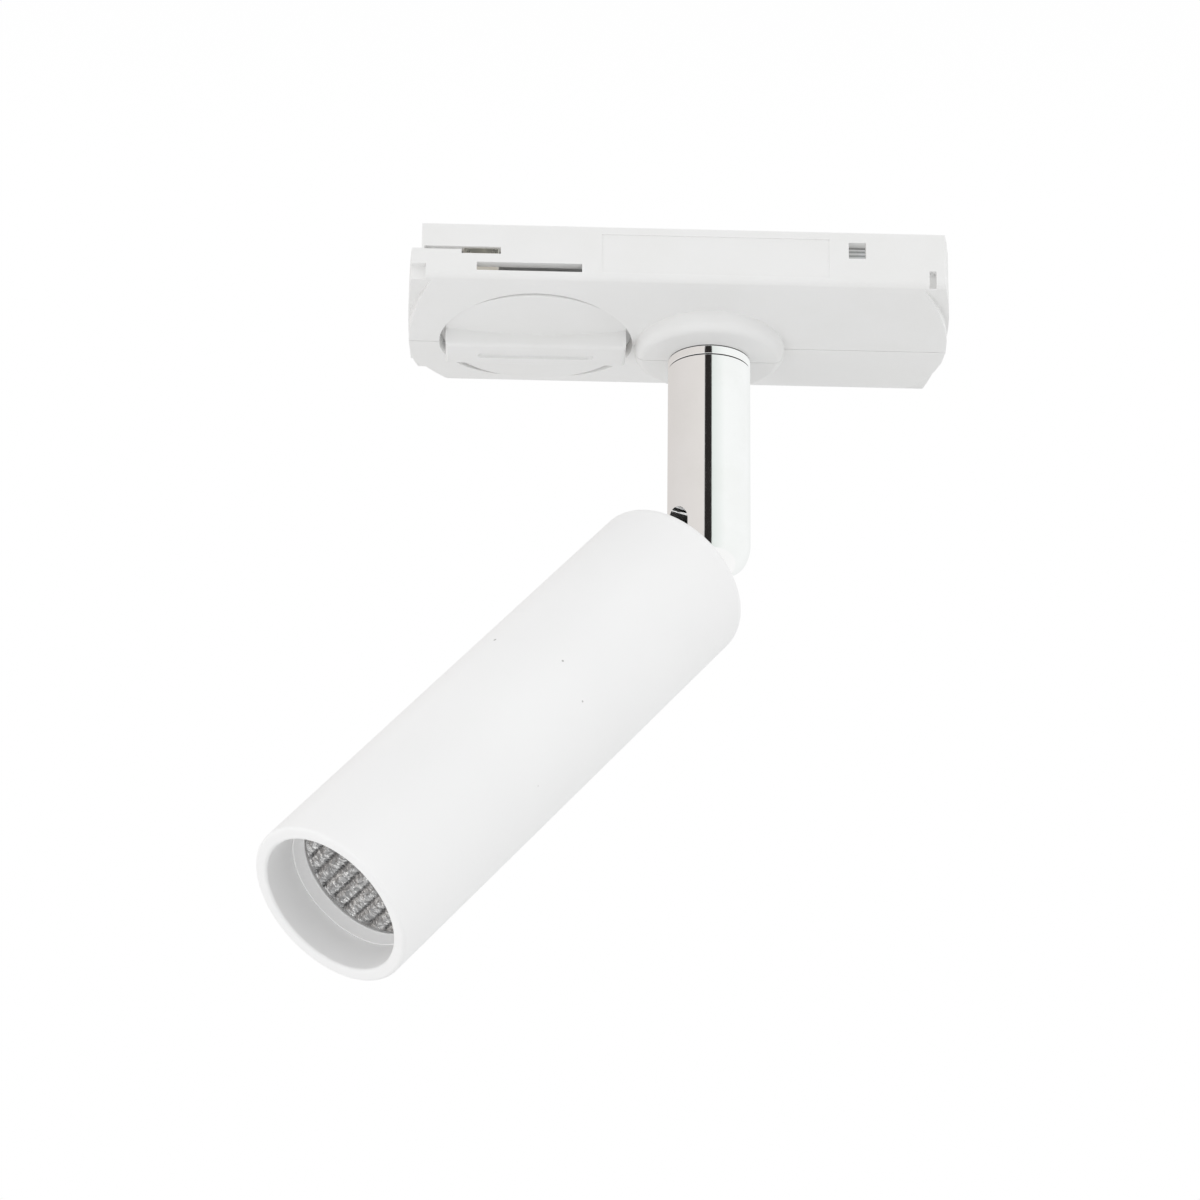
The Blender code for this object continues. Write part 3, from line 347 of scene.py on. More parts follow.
@dataclass(frozen=True)
class MouldedPlastic(Finish):
    """Injection-moulded plastic with an eroded grain, edges worn smooth and painted lighter as a highlight, and a
    dusting on upward faces with painted shade in its recesses.
    """

    name: str
    tone: Colour
    deep_tone: Colour
    dust_and_shade_tone: Colour
    roughness: float = 0.46
    grain: float = 1500.0
    depth: float = 0.25
    edge_highlight: float = 0.35

    def material(self) -> bpy.types.Material:
        """The finish as a material."""
        made, wiring, shader = self.start()
        grain = EFFECTS.use(wiring, Effect.GRAIN, Scale=self.grain)
        edge = EFFECTS.use(wiring, Effect.EDGES, Width=0.00035).outputs["Mask"]
        dust_and_shade = EFFECTS.use(wiring, Effect.DUST_AND_SHADE, Reach=0.0016).outputs["Mask"]
        body = wiring.blend(grain.outputs["Mottle"], self.tone, self.deep_tone)
        # Painted highlight: rounded edges mixed towards white.
        lit = wiring.blend(wiring.maths("MULTIPLY", edge, self.edge_highlight), body, WHITE)
        # Painted shade in recesses, from ambient occlusion, mixed into the darker tone together with a dusting on
        # upward faces.
        shaded_and_dusty = wiring.blend(wiring.maths("MULTIPLY", dust_and_shade, 0.35), lit, self.dust_and_shade_tone)
        wiring.feed(shader, "Base Color", shaded_and_dusty)
        rough = wiring.band(grain.outputs["Height"], 0.3, 0.7, self.roughness - 0.05, self.roughness + 0.07)
        worn = wiring.maths("MULTIPLY", edge, 0.12)
        wiring.feed(shader, "Roughness", wiring.maths("SUBTRACT", rough, worn))
        shader.inputs["Specular IOR Level"].default_value = 0.42
        self.bump(wiring, shader, grain.outputs["Height"], self.depth, 0.00004)
        return made


@dataclass(frozen=True)
class PowderCoat(Finish):
    """Matt white powder coat: orange peel, fine grit, a few specks and edges painted lighter as a highlight."""

    name: str
    tone: Colour
    deep_tone: Colour
    speck_tone: Colour
    roughness: float = 0.5
    peel: float = 700.0
    depth: float = 0.22

    def material(self) -> bpy.types.Material:
        """The finish as a material."""
        made, wiring, shader = self.start()
        peel = EFFECTS.use(wiring, Effect.GRAIN, Scale=self.peel)
        grit = EFFECTS.use(wiring, Effect.GRAIN, Scale=self.peel * 4.5)
        speck = EFFECTS.use(wiring, Effect.SPECKS, Scale=330.0, Share=0.075).outputs["Mask"]
        edge = EFFECTS.use(wiring, Effect.EDGES, Width=0.0004).outputs["Mask"]
        body = wiring.blend(peel.outputs["Mottle"], self.tone, self.deep_tone)
        # Painted highlight: rounded edges mixed towards white.
        lit = wiring.blend(wiring.maths("MULTIPLY", edge, 0.3), body, WHITE)
        marked = wiring.blend(wiring.maths("MULTIPLY", speck, 0.75), lit, self.speck_tone)
        wiring.feed(shader, "Base Color", marked)
        rough = wiring.band(grit.outputs["Height"], 0.3, 0.7, self.roughness - 0.06, self.roughness + 0.08)
        wiring.feed(shader, "Roughness", rough)
        shader.inputs["Specular IOR Level"].default_value = 0.45
        fine = wiring.maths("MULTIPLY", grit.outputs["Height"], 0.35)
        height = wiring.maths("ADD", peel.outputs["Height"], fine)
        self.bump(wiring, shader, height, self.depth, 0.00006)
        return made


@dataclass(frozen=True)
class Metal(Finish):
    """Bare or plated metal with fine scratches and a slow tarnish."""

    name: str
    tone: Colour
    tarnish: Colour
    roughness: float
    spread: float = 0.05
    scratch: float = 0.12
    scale: float = 900.0

    def material(self) -> bpy.types.Material:
        """The finish as a material."""
        made, wiring, shader = self.start()
        marks = EFFECTS.use(wiring, Effect.SCRATCHES, Scale=self.scale)
        cloud = EFFECTS.use(wiring, Effect.GRAIN, Scale=2600.0)
        body = wiring.blend(cloud.outputs["Mottle"], self.tone, self.tarnish)
        wiring.feed(shader, "Base Color", body)
        base = wiring.band(cloud.outputs["Mottle"], 0.0, 1.0, self.roughness, self.roughness + self.spread)
        extra = wiring.maths("MULTIPLY", marks.outputs["Mask"], self.spread)
        wiring.feed(shader, "Roughness", wiring.maths("ADD", base, extra))
        shader.inputs["Metallic"].default_value = 1.0
        self.bump(wiring, shader, marks.outputs["Height"], self.scratch, 0.000004)
        return made


@dataclass(frozen=True)
class FacetedLens(Finish):
    """Metallised, crinkled lens face: grey, with bright and dark facets, painted shade in the creases between rows
    and painted highlights along thin threads.
    """

    name: str
    bright: Colour
    dark: Colour
    glint: Colour = (0.95, 0.95, 0.94)
    roughness: float = 0.24

    def material(self) -> bpy.types.Material:
        """The finish as a material."""
        made, wiring, shader = self.start()
        where = wiring.place()
        facets = wiring.add("TexVoronoi", None, Vector=where, Scale=2300.0)
        tone = wiring.add("SeparateColor", None, Color=facets.outputs["Color"]).outputs[0]
        cloud = wiring.add(
            "TexNoise", None, Vector=where, Scale=520.0, Detail=3.0, Roughness=0.6, Distortion=3.0
        )
        row = wiring.add("Attribute", {"attribute_name": "row_shade"}).outputs["Fac"]
        # Painted shade: darker at the creases between rows.
        crease_shade = wiring.band(row, 0.3, 0.7, 0.3, 1.0)
        patch = wiring.band(cloud.outputs[0], 0.35, 0.65, 0.05, 0.5)
        both = wiring.maths("ADD", wiring.maths("MULTIPLY", tone, 0.22), patch)
        body = wiring.blend(wiring.maths("MULTIPLY", both, crease_shade), self.dark, self.bright)
        # Painted highlight: thin bright threads along noise contours, in the glint colour, fading towards the
        # creases.
        off = wiring.maths("ABSOLUTE", wiring.maths("SUBTRACT", cloud.outputs[0], 0.53))
        glint_thread = wiring.maths("MULTIPLY", wiring.band(off, 0.03, 0.01), wiring.band(tone, 0.3, 0.55))
        bright = wiring.maths("MULTIPLY", glint_thread, crease_shade)
        wiring.feed(shader, "Base Color", wiring.blend(bright, body, self.glint))
        rough = wiring.band(tone, 0.0, 1.0, self.roughness - 0.08, self.roughness + 0.12)
        wiring.feed(shader, "Roughness", rough)
        shader.inputs["Metallic"].default_value = 0.92
        self.bump(wiring, shader, cloud.outputs[0], 0.35, 0.0001)
        return made


@dataclass(frozen=True)
class CircuitLaminate(Finish):
    """Lacquered board with pale pads and copper tracks under the lacquer."""

    name: str
    lacquer: Colour
    track: Colour
    pad: Colour

    def material(self) -> bpy.types.Material:
        """The finish as a material."""
        made, wiring, shader = self.start()
        where = wiring.place()
        lanes = wiring.add("TexBrick", {"offset": 0.5}, Vector=where, Scale=420.0, Mortar_Size=0.03)
        pads = wiring.add("TexVoronoi", None, Vector=where, Scale=520.0)
        cloud = EFFECTS.use(wiring, Effect.GRAIN, Scale=1800.0)
        base = wiring.blend(lanes.outputs["Fac"], self.lacquer, self.track)
        tinned = wiring.blend(wiring.band(pads.outputs["Distance"], 0.24, 0.2), base, self.pad)
        wiring.feed(shader, "Base Color", tinned)
        wiring.feed(shader, "Roughness", wiring.band(cloud.outputs["Mottle"], 0.0, 1.0, 0.28, 0.4))
        self.bump(wiring, shader, lanes.outputs["Fac"], 0.2, 0.00003)
        return made


@dataclass(frozen=True)
class Phosphor(Finish):
    """Silicone dome filled with yellow phosphor, a little cloudy."""

    name: str
    core: Colour
    rim: Colour

    def material(self) -> bpy.types.Material:
        """The finish as a material."""
        made, wiring, shader = self.start()
        grain = EFFECTS.use(wiring, Effect.GRAIN, Scale=2400.0)
        wiring.feed(shader, "Base Color", wiring.blend(grain.outputs["Mottle"], self.core, self.rim))
        wiring.feed(shader, "Roughness", wiring.band(grain.outputs["Height"], 0.3, 0.7, 0.22, 0.36))
        shader.inputs["Coat Weight"].default_value = 0.4
        self.bump(wiring, shader, grain.outputs["Height"], 0.15, 0.00003)
        return made


@dataclass(frozen=True)
class WoundCopper(Finish):
    """Lacquered winding wire, laid in close turns round the core, with painted shade in the valleys between turns
    and lighter crowns.
    """

    name: str
    crown: Colour
    valley_shade: Colour

    def material(self) -> bpy.types.Material:
        """The finish as a material."""
        made, wiring, shader = self.start()
        bands = {"wave_type": "BANDS", "bands_direction": "Z"}
        turns = wiring.add("TexWave", bands, Vector=wiring.place(), Scale=900.0, Distortion=0.4)
        # Painted shade: the valleys between turns darker, the crowns lighter.
        wiring.feed(shader, "Base Color", wiring.blend(turns.outputs["Fac"], self.valley_shade, self.crown))
        wiring.feed(shader, "Roughness", wiring.band(turns.outputs["Fac"], 0.0, 1.0, 0.42, 0.26))
        shader.inputs["Metallic"].default_value = 0.9
        self.bump(wiring, shader, turns.outputs["Fac"], 0.5, 0.00008)
        return made


def plastic(name: str, level: float, **sizes) -> MouldedPlastic:
    """A moulded plastic of one grey level.

    Args:
        name: the finish's name.
        level: how light it is.
        sizes: fields that differ from the usual.

    Returns:
        The finish.
    """
    tone = (level, level, level * 0.995)
    deep = (level * 0.985, level * 0.985, level * 0.975)
    # Darker tone for the dusting on upward faces and for the painted shade in recesses.
    dust_and_shade = (level * 0.8, level * 0.79, level * 0.77)
    return MouldedPlastic(name, tone, deep, dust_and_shade, **sizes)


class Palette:
    """The finish of each material slot, made once."""

    def __init__(self) -> None:
        """Makes every material."""
        finishes = {
            "white_plastic": plastic("white_moulding", 0.895),
            "dial_plastic": plastic("dial_moulding", 0.89, roughness=0.4, grain=1700.0),
            "inner_plastic": plastic("inner_moulding", 0.62, roughness=0.5),
            "black_plastic": MouldedPlastic(
                "black_moulding", (0.02, 0.02, 0.021), (0.03, 0.03, 0.03), (0.12, 0.115, 0.11), edge_highlight=0.04
            ),
            "lead_white": plastic("lead_sheath", 0.8, roughness=0.38, grain=2200.0, depth=0.12),
            "white_paint": PowderCoat(
                "head_powder_coat", (0.965, 0.965, 0.965), (0.95, 0.95, 0.95), (0.32, 0.31, 0.30)
            ),
            "chrome": Metal("bright_chrome", (0.955, 0.955, 0.955), (0.93, 0.93, 0.925), 0.045, 0.03, 0.05),
            "steel": Metal("zinc_steel", (0.56, 0.57, 0.58), (0.46, 0.46, 0.45), 0.28, 0.12),
            "brass": Metal("nickelled_brass", (0.62, 0.6, 0.55), (0.5, 0.47, 0.4), 0.26, 0.12),
            "aluminium": Metal(
                "extruded_aluminium", (0.76, 0.77, 0.78), (0.66, 0.67, 0.67), 0.34, 0.1, 0.2, 500.0
            ),
            "circuit_board": CircuitLaminate(
                "driver_laminate", (0.02, 0.12, 0.06), (0.05, 0.26, 0.12), (0.72, 0.73, 0.7)
            ),
            "copper_winding": WoundCopper("choke_winding", (0.72, 0.32, 0.16), (0.3, 0.11, 0.05)),
            "emitter": Phosphor("emitter_phosphor", (0.86, 0.66, 0.1), (0.95, 0.8, 0.32)),
            "lens_grey": FacetedLens("lens_facets", (0.6, 0.6, 0.6), (0.17, 0.17, 0.172)),
        }
        self.made = {slot: finish.material() for slot, finish in finishes.items()}

    def __getitem__(self, slot: str) -> bpy.types.Material:
        """The material of one slot."""
        return self.made[slot]


# ---------------------------------------------------------------- shaping


def arc(centre: Point, radius: float, start: float, end: float, steps: int) -> list[Point]:
    """Points along an arc.

    Args:
        centre: its middle.
        radius: its radius.
        start: first angle, in degrees.
        end: last angle, in degrees.
        steps: how many chords it has.

    Returns:
        The points, with both ends.
    """
    angles = [math.radians(start + (end - start) * step / steps) for step in range(steps + 1)]
    return [(centre[0] + radius * math.cos(a), centre[1] + radius * math.sin(a)) for a in angles]


def shift(x: float = 0.0, y: float = 0.0, z: float = 0.0) -> Matrix:
    """A move by so many millimetres."""
    return Matrix.Translation((x * MM, y * MM, z * MM))


def new_verts(result: dict) -> list[bmesh.types.BMVert]:
    """The vertices among what a bmesh operator made."""
    return [item for item in result["geom"] if isinstance(item, bmesh.types.BMVert)]


class Workpiece:
    """A mesh in the making, in metres in the shared frame."""

    def __init__(self) -> None:
        """Starts empty."""
        self.bm = bmesh.new()

    def copy_node(self, node: str) -> "Workpiece":
        """Takes a CAD node's mesh, joins its loose triangles and makes its flat faces whole.

        Args:
            node: the CAD node's name.

        Returns:
            This workpiece.
        """
        self.bm.from_mesh(frame["nodes"][node].data)
        bmesh.ops.remove_doubles(self.bm, verts=self.bm.verts, dist=2e-6)
        bmesh.ops.dissolve_limit(
            self.bm, angle_limit=math.radians(0.6), verts=self.bm.verts, edges=self.bm.edges
        )
        return self

    def turn(self, outline: Sequence[Point], steps: int = 160) -> "Workpiece":
        """Spins a closed outline about the Z axis.

        Args:
            outline: (radius, height) points in millimetres.
            steps: how many sides the round has.

        Returns:
            This workpiece.
        """
        verts = [self.bm.verts.new((radius * MM, 0.0, height * MM)) for radius, height in outline]
        edges = [self.bm.edges.new(pair) for pair in zip(verts, verts[1:] + verts[:1])]
        bmesh.ops.spin(
            self.bm, geom=verts + edges, cent=(0, 0, 0), axis=(0, 0, 1), angle=math.tau, steps=steps, use_merge=True
        )
        bmesh.ops.remove_doubles(self.bm, verts=self.bm.verts, dist=1e-7)
        bmesh.ops.dissolve_degenerate(self.bm, edges=self.bm.edges, dist=1e-8)
        loose = [edge for edge in self.bm.edges if not edge.link_faces]
        bmesh.ops.delete(self.bm, geom=loose, context="EDGES")
        return self.outward()

    def close_seam(self, gap: float, reach: float = 0.2) -> "Workpiece":
        """Draws the faces beside the plane of symmetry closer to it.

        Args:
            gap: what stays open on this side of the plane, in millimetres.
            reach: how near the plane a point is to be drawn in.

        Returns:
            This workpiece.
        """
        for vert in self.bm.verts:
            if abs(vert.co.y) < reach * MM:
                vert.co.y = math.copysign(gap * MM, vert.co.y)
        return self

    def outward(self) -> "Workpiece":
        """Turns every face outwards."""
        bmesh.ops.recalc_face_normals(self.bm, faces=self.bm.faces)
        if self.bm.calc_volume(signed=True) < 0:
            bmesh.ops.reverse_faces(self.bm, faces=self.bm.faces)
        return self

    def rod(self, radius: float, length: float, sides: int) -> "Workpiece":
        """Adds a cylinder along the Z axis.

        Args:
            radius: its radius, in millimetres.
            length: its length, centred on the origin.
            sides: how many sides the round has.

        Returns:
            This workpiece.
        """
        size = radius * MM
        bmesh.ops.create_cone(
            self.bm, cap_ends=True, segments=sides, radius1=size, radius2=size, depth=length * MM
        )
        return self

    def soften(self, width: float, segments: int = 2, angle: float = 40.0) -> "Workpiece":
        """Rounds the sharp edges.

        Args:
            width: how far the rounding reaches from the edge, in millimetres.
            segments: facets across the rounding.
            angle: smallest bend of an edge that is rounded, in degrees.

        Returns:
            This workpiece.
        """
        bend = math.radians(angle)
        joined = [edge for edge in self.bm.edges if len(edge.link_faces) == 2]
        bent = [edge for edge in joined if edge.calc_face_angle(0.0) > bend]
        if bent:
            bmesh.ops.bevel(
                self.bm, geom=bent, offset=width * MM, offset_type="OFFSET", affect="EDGES",
                segments=segments, profile=0.5, material=-1, clamp_overlap=True,
            )
        return self

    def move(self, matrix: Matrix) -> "Workpiece":
        """Places the mesh with a matrix."""
        bmesh.ops.transform(self.bm, matrix=matrix, verts=self.bm.verts)
        return self

    def finish(self, name: str, smooth: float = 30.0) -> bpy.types.Object:
        """Makes the object, smooth except at its sharp edges.

        Args:
            name: the piece's name.
            smooth: largest bend that is shaded smooth, in degrees.

        Returns:
            The object, at the origin.
        """
        mesh = bpy.data.meshes.new(name)
        self.bm.to_mesh(mesh)
        self.bm.free()
        mesh.shade_smooth()
        mesh.set_sharp_from_angle(angle=math.radians(smooth))
        made = bpy.data.objects.new(name, mesh)
        bpy.context.scene.collection.objects.link(made)
        return made


def carve(target: bpy.types.Object, *tools: bpy.types.Object) -> None:
    """Cuts tools out of a piece and removes them.

    Args:
        target: the piece that is cut.
        tools: the shapes that are taken out.
    """
    for tool in tools:
        cutter = target.modifiers.new(tool.name, "BOOLEAN")
        cutter.operation, cutter.solver, cutter.object = "DIFFERENCE", "EXACT", tool
    graph = bpy.context.evaluated_depsgraph_get()
    cut = bpy.data.meshes.new_from_object(target.evaluated_get(graph))
    target.modifiers.clear()
    target.data = cut
    cut.name = target.name
    cut.shade_smooth()
    cut.set_sharp_from_angle(angle=math.radians(30))
    for tool in tools:
        bpy.data.objects.remove(tool)


MIRRORED = ("chrome", "lens_grey")


@dataclass
class SubAssembly:
    """Pieces that ride on one body, dressed from one palette."""

    palette: Palette
    body: str = "adapter"
    count: int = field(default=0, init=False)

    def fit(self, piece: bpy.types.Object, slot: str, *nodes: str, even: bool = True) -> bpy.types.Object:
        """Dresses a new piece, hangs it on its body and hides the CAD nodes that it stands for.

        Args:
            piece: the new piece.
            slot: the material slot of its finish.
            nodes: the CAD nodes that it stands for.
            even: whether the wide faces keep flat shading next to rounded edges.

        Returns:
            The piece.
        """
        piece.data.materials.clear()
        piece.data.materials.append(self.palette[slot])
        if even:
            weigh = piece.modifiers.new("even_shading", "WEIGHTED_NORMAL")
            weigh.keep_sharp, weigh.weight = True, 60
        piece.visible_glossy = slot in MIRRORED
        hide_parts(*nodes)
        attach(piece, self.body)
        self.count += 1
        log.info("%s stands for %s on %s", piece.name, ", ".join(nodes), self.body)
        return piece

    def soften_node(self, node: str, slot: str, width: float, **options) -> bpy.types.Object:
        """Replaces a CAD node by a copy with rounded edges.

        Args:
            node: the CAD node.
            slot: the material slot of its finish.
            width: width of the rounding, in millimetres.
            options: further arguments of Workpiece.soften.

        Returns:
            The new piece.
        """
        shape = Workpiece().copy_node(node).soften(width, **options)
        return self.fit(shape.finish(node + "_shape"), slot, node)

    def dress(self, slot: str, *nodes: str) -> None:
        """Gives CAD nodes that keep their shape a finish.

        Args:
            slot: the material slot.
            nodes: the CAD nodes.
        """
        for node in nodes:
            piece = frame["nodes"][node]
            if not piece.material_slots:
                piece.data.materials.append(None)
            for place in piece.material_slots:
                place.material = self.palette[slot]
            piece.visible_glossy = slot in MIRRORED
            self.count += 1
            log.info("%s keeps its CAD shape in %s", node, slot)


def upright(node: str) -> tuple[Vector, Vector]:
    """A CAD node's lowest and highest corners, in millimetres."""
    low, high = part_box(node)
    return low / MM, high / MM


# ---------------------------------------------------------------- adapter


@dataclass
class AdapterHousing(SubAssembly):
    """Two moulded halves, the lid and what shows through their openings."""

    edge: float = 0.16
    seam: float = 0.07
    rib_count: int = 9
    screw_dome: float = 0.22
    cross_reach: float = 0.72
    cross_width: float = 0.26

    def make(self) -> None:
        """Builds and dresses the adapter's fixed pieces."""
        for node in ("housing_front", "housing_back"):
            half = Workpiece().copy_node(node).close_seam(self.seam).soften(self.edge)
            self.fit(half.finish(node + "_shape"), "white_plastic", node)
        self.soften_node("top_cover", "inner_plastic", 0.12)
        for number in range(1, 5):
            self.pan_screw(f"cover_screw_{number}")
        for side in ("front", "back"):
            self.ribbed_spring(f"earth_spring_{side}")
        self.dress("inner_plastic", "terminal_block")
        self.dress("brass", "terminal_screw_1", "terminal_screw_2", "terminal_screw_3")
        self.dress("black_plastic", "swivel_bush")
        self.dress("lead_white", "supply_lead")

    def pan_screw(self, node: str) -> None:
        """Pan-head screw with a cross recess.

        Args:
            node: the CAD screw that it stands for.
        """
        low, high = upright(node)
        centre = (low + high) / 2
        head = (high.x - low.x) / 2 - 0.02
        shank = head / 2
        top, seat = high.z - 0.01, high.z - 0.6
        outline = [(0.0, low.z + 0.02), (shank, low.z + 0.02), (shank, seat), (head, seat)]
        outline += [(head, top - self.screw_dome), (head * 0.82, top - 0.07), (head * 0.5, top), (0.0, top)]
        piece = Workpiece().turn(outline, 40).move(shift(centre.x, centre.y)).finish(node + "_head", 50)
        carve(piece, *[self.cross_arm(node, turn, centre, top) for turn in (0.3, 0.3 + math.pi / 2)])
        self.fit(piece, "steel", node)

    def cross_arm(self, node: str, turn: float, centre: Vector, top: float) -> bpy.types.Object:
        """One arm of a cross recess.

        Args:
            node: the screw's name.
            turn: the arm's direction, in radians.
            centre: the screw's middle.
            top: height of its head.

        Returns:
            The cutting shape.
        """
        shape = Workpiece()
        bmesh.ops.create_cube(shape.bm, size=1.0)
        size = Matrix.Diagonal((2 * self.cross_reach * MM, self.cross_width * MM, 0.8 * MM, 1.0))
        shape.move(shift(centre.x, centre.y, top) @ Matrix.Rotation(turn, 4, "Z") @ size)
        return shape.finish(f"{node}_arm_{turn:.1f}")

    def ribbed_spring(self, node: str) -> None:
        """Spring strip pressed into level ribs.

        Args:
            node: the CAD strip that it stands for.
        """
        low, high = upright(node)
        outer, inner = sorted((low.y, high.y), key=abs, reverse=True)
        side = 1.0 if outer > 0 else -1.0
        shape = Workpiece()
        bmesh.ops.create_grid(shape.bm, x_segments=6, y_segments=self.rib_count * 6, size=0.5)
        for vert in shape.bm.verts:
            along, up = vert.co.x, vert.co.y + 0.5
            wave = abs(math.sin(math.pi * self.rib_count * up))
            depth = outer - side * (0.02 + 0.24 * wave**0.6)
            across = (low.x + high.x) / 2 + along * (high.x - low.x)
            vert.co = Vector((across, depth, low.z + up * (high.z - low.z))) * MM
        back = bmesh.ops.extrude_face_region(shape.bm, geom=shape.bm.faces[:])
        for vert in new_verts(back):
            vert.co.y = (inner + side * 0.01) * MM
        shape.outward()
        self.fit(shape.finish(node + "_ribs"), "steel", node, even=False)


@dataclass
class LockDial(SubAssembly):
    """The dial under the adapter with its shaft, cam and drive disc."""

    body: str = "dial"

    def make(self) -> None:
        """Builds and dresses the dial's pieces."""
        self.soften_node("dial_knob", "dial_plastic", 0.2, segments=3, angle=32.0)
        self.soften_node("lock_cam", "steel", 0.1)
        self.dress("black_plastic", "dial_shaft", "contact_drive_disc")
        self.dress("steel", "dial_clip")


@dataclass
class TrackContacts(SubAssembly):
    """The two sliding contacts, each on its own body."""

    def make(self) -> None:
        """Rounds and dresses both contacts."""
        for body, node in (("live_slide", "live_contact"), ("neutral_slide", "neutral_contact")):
            self.body = body
            self.soften_node(node, "brass", 0.1)


# ---------------------------------------------------------------- stem


@dataclass
class ChromeStem(SubAssembly):
    """Turned and plated stem with its fork, reveal ring, pivot screw and washers."""

    body: str = "stem_assembly"
    radius: float = 5.975
    chamfer: float = 0.12
    bore: float = 2.6
    socket: float = 4.3
    grip: float = 5.3
    fork: float = 4.6
    fork_depth: float = 4.4
    joint_gap: float = 0.15
    pivot_hole: tuple[float, float, float] = (1.8, -7.0, 4.85)
    pivot_seat: tuple[float, float, float] = (2.7, -7.0, -3.9)
    steps: int = 256

    def make(self) -> None:
        """Builds and dresses the stem's pieces."""
        self.pivot = joint_place("head_tilt")
        self.across = Matrix.Rotation(math.atan2(self.pivot[1].y, self.pivot[1].x), 4, "Z")
        self.stem()
        self.reveal_ring()
        self.soften_node("pivot_screw", "steel", 0.15)
        self.dress("black_plastic", "tilt_washer_1", "tilt_washer_2")
        self.dress("steel", "swivel_washer", "nipple_nut", "hollow_nipple")

    def stem(self) -> None:
        """Tube with a round nose and a fork slot across it."""
        top = upright("reveal_ring")[0].z - self.joint_gap
        middle = self.pivot[0].z / MM
        outline = [(self.socket, top), (self.radius - self.chamfer, top)]
        outline += arc((self.radius - self.chamfer, top - self.chamfer), self.chamfer, 80, 0, 4)
        outline += arc((0.0, middle), self.radius, 0, -90, 48)
        floor = middle + self.fork_depth - 2.0
        step = top - self.grip
        outline += [(0.0, floor), (self.bore, floor), (self.bore, step), (self.socket, step)]
        piece = Workpiece().turn(outline, self.steps).finish("stem_tube")
        carve(
            piece,
            self.slot(middle),
            self.cross_rod("pivot_hole", *self.pivot_hole, middle),
            self.cross_rod("pivot_seat", *self.pivot_seat, middle),
        )
        self.fit(piece, "chrome", "stem", even=False)

    def slot(self, middle: float) -> bpy.types.Object:
        """The fork's opening, round at its crown.

        Args:
            middle: height of the pivot, in millimetres.

        Returns:
            The cutting shape.
        """
        half = self.fork / 2
        crest = middle + self.fork_depth - half
        section = arc((0.0, crest), half, 0, 180, 40) + [(-half, middle - 8.0), (half, middle - 8.0)]
        shape = Workpiece()
        verts = [shape.bm.verts.new((-8.0 * MM, across * MM, height * MM)) for across, height in section]
        face = shape.bm.faces.new(verts)
        grown = bmesh.ops.extrude_face_region(shape.bm, geom=[face])
        bmesh.ops.translate(shape.bm, vec=(16.0 * MM, 0.0, 0.0), verts=new_verts(grown))
        turn = self.across @ Matrix.Rotation(math.pi / 2, 4, "Z")
        return shape.outward().move(turn).finish("fork_opening")

    def cross_rod(self, name: str, radius: float, start: float, end: float, middle: float) -> bpy.types.Object:
        """A round cutter along the pivot axis.

        Args:
            name: its name.
            radius: its radius, in millimetres.
            start: one end along the axis.
            end: the other end.
            middle: height of the axis.

        Returns:
            The cutting shape.
        """
        lay = Matrix.Rotation(math.pi / 2, 4, "Y")
        spot = shift(z=middle) @ self.across @ shift((start + end) / 2) @ lay
        return Workpiece().rod(radius, end - start, 64).move(spot).finish(name)

    def reveal_ring(self) -> None:
        """Plated ring between the rosette and the stem, with eased edges."""
        low, high = upright("reveal_ring")[0].z, upright("housing_front")[0].z - self.joint_gap
        ease = self.chamfer
        outline = [(self.socket, low), (self.radius - ease, low)]
        outline += arc((self.radius - ease, low + ease), ease, -80, 0, 4)
        outline += arc((self.radius - ease, high - ease), ease, 0, 80, 4)
        outline += [(self.radius - ease, high), (self.socket, high)]
        piece = Workpiece().turn(outline, self.steps).finish("reveal_ring_turned")
        self.fit(piece, "chrome", "reveal_ring", even=False)


def joint_place(name: str) -> tuple[Vector, Vector]:
    """Where a joint is.

    Args:
        name: the joint's name.

    Returns:
        A point on its axis, in metres, and the axis.
    """
    joint = next(joint for joint in frame["joints"] if joint["name"] == name)
    place = joint.get("pos_m") or joint.get("pos") or joint.get("anchor_m") or (0, 0, 0)
    return Vector(place), Vector(joint["axis"]).normalized()


# ---------------------------------------------------------------- head


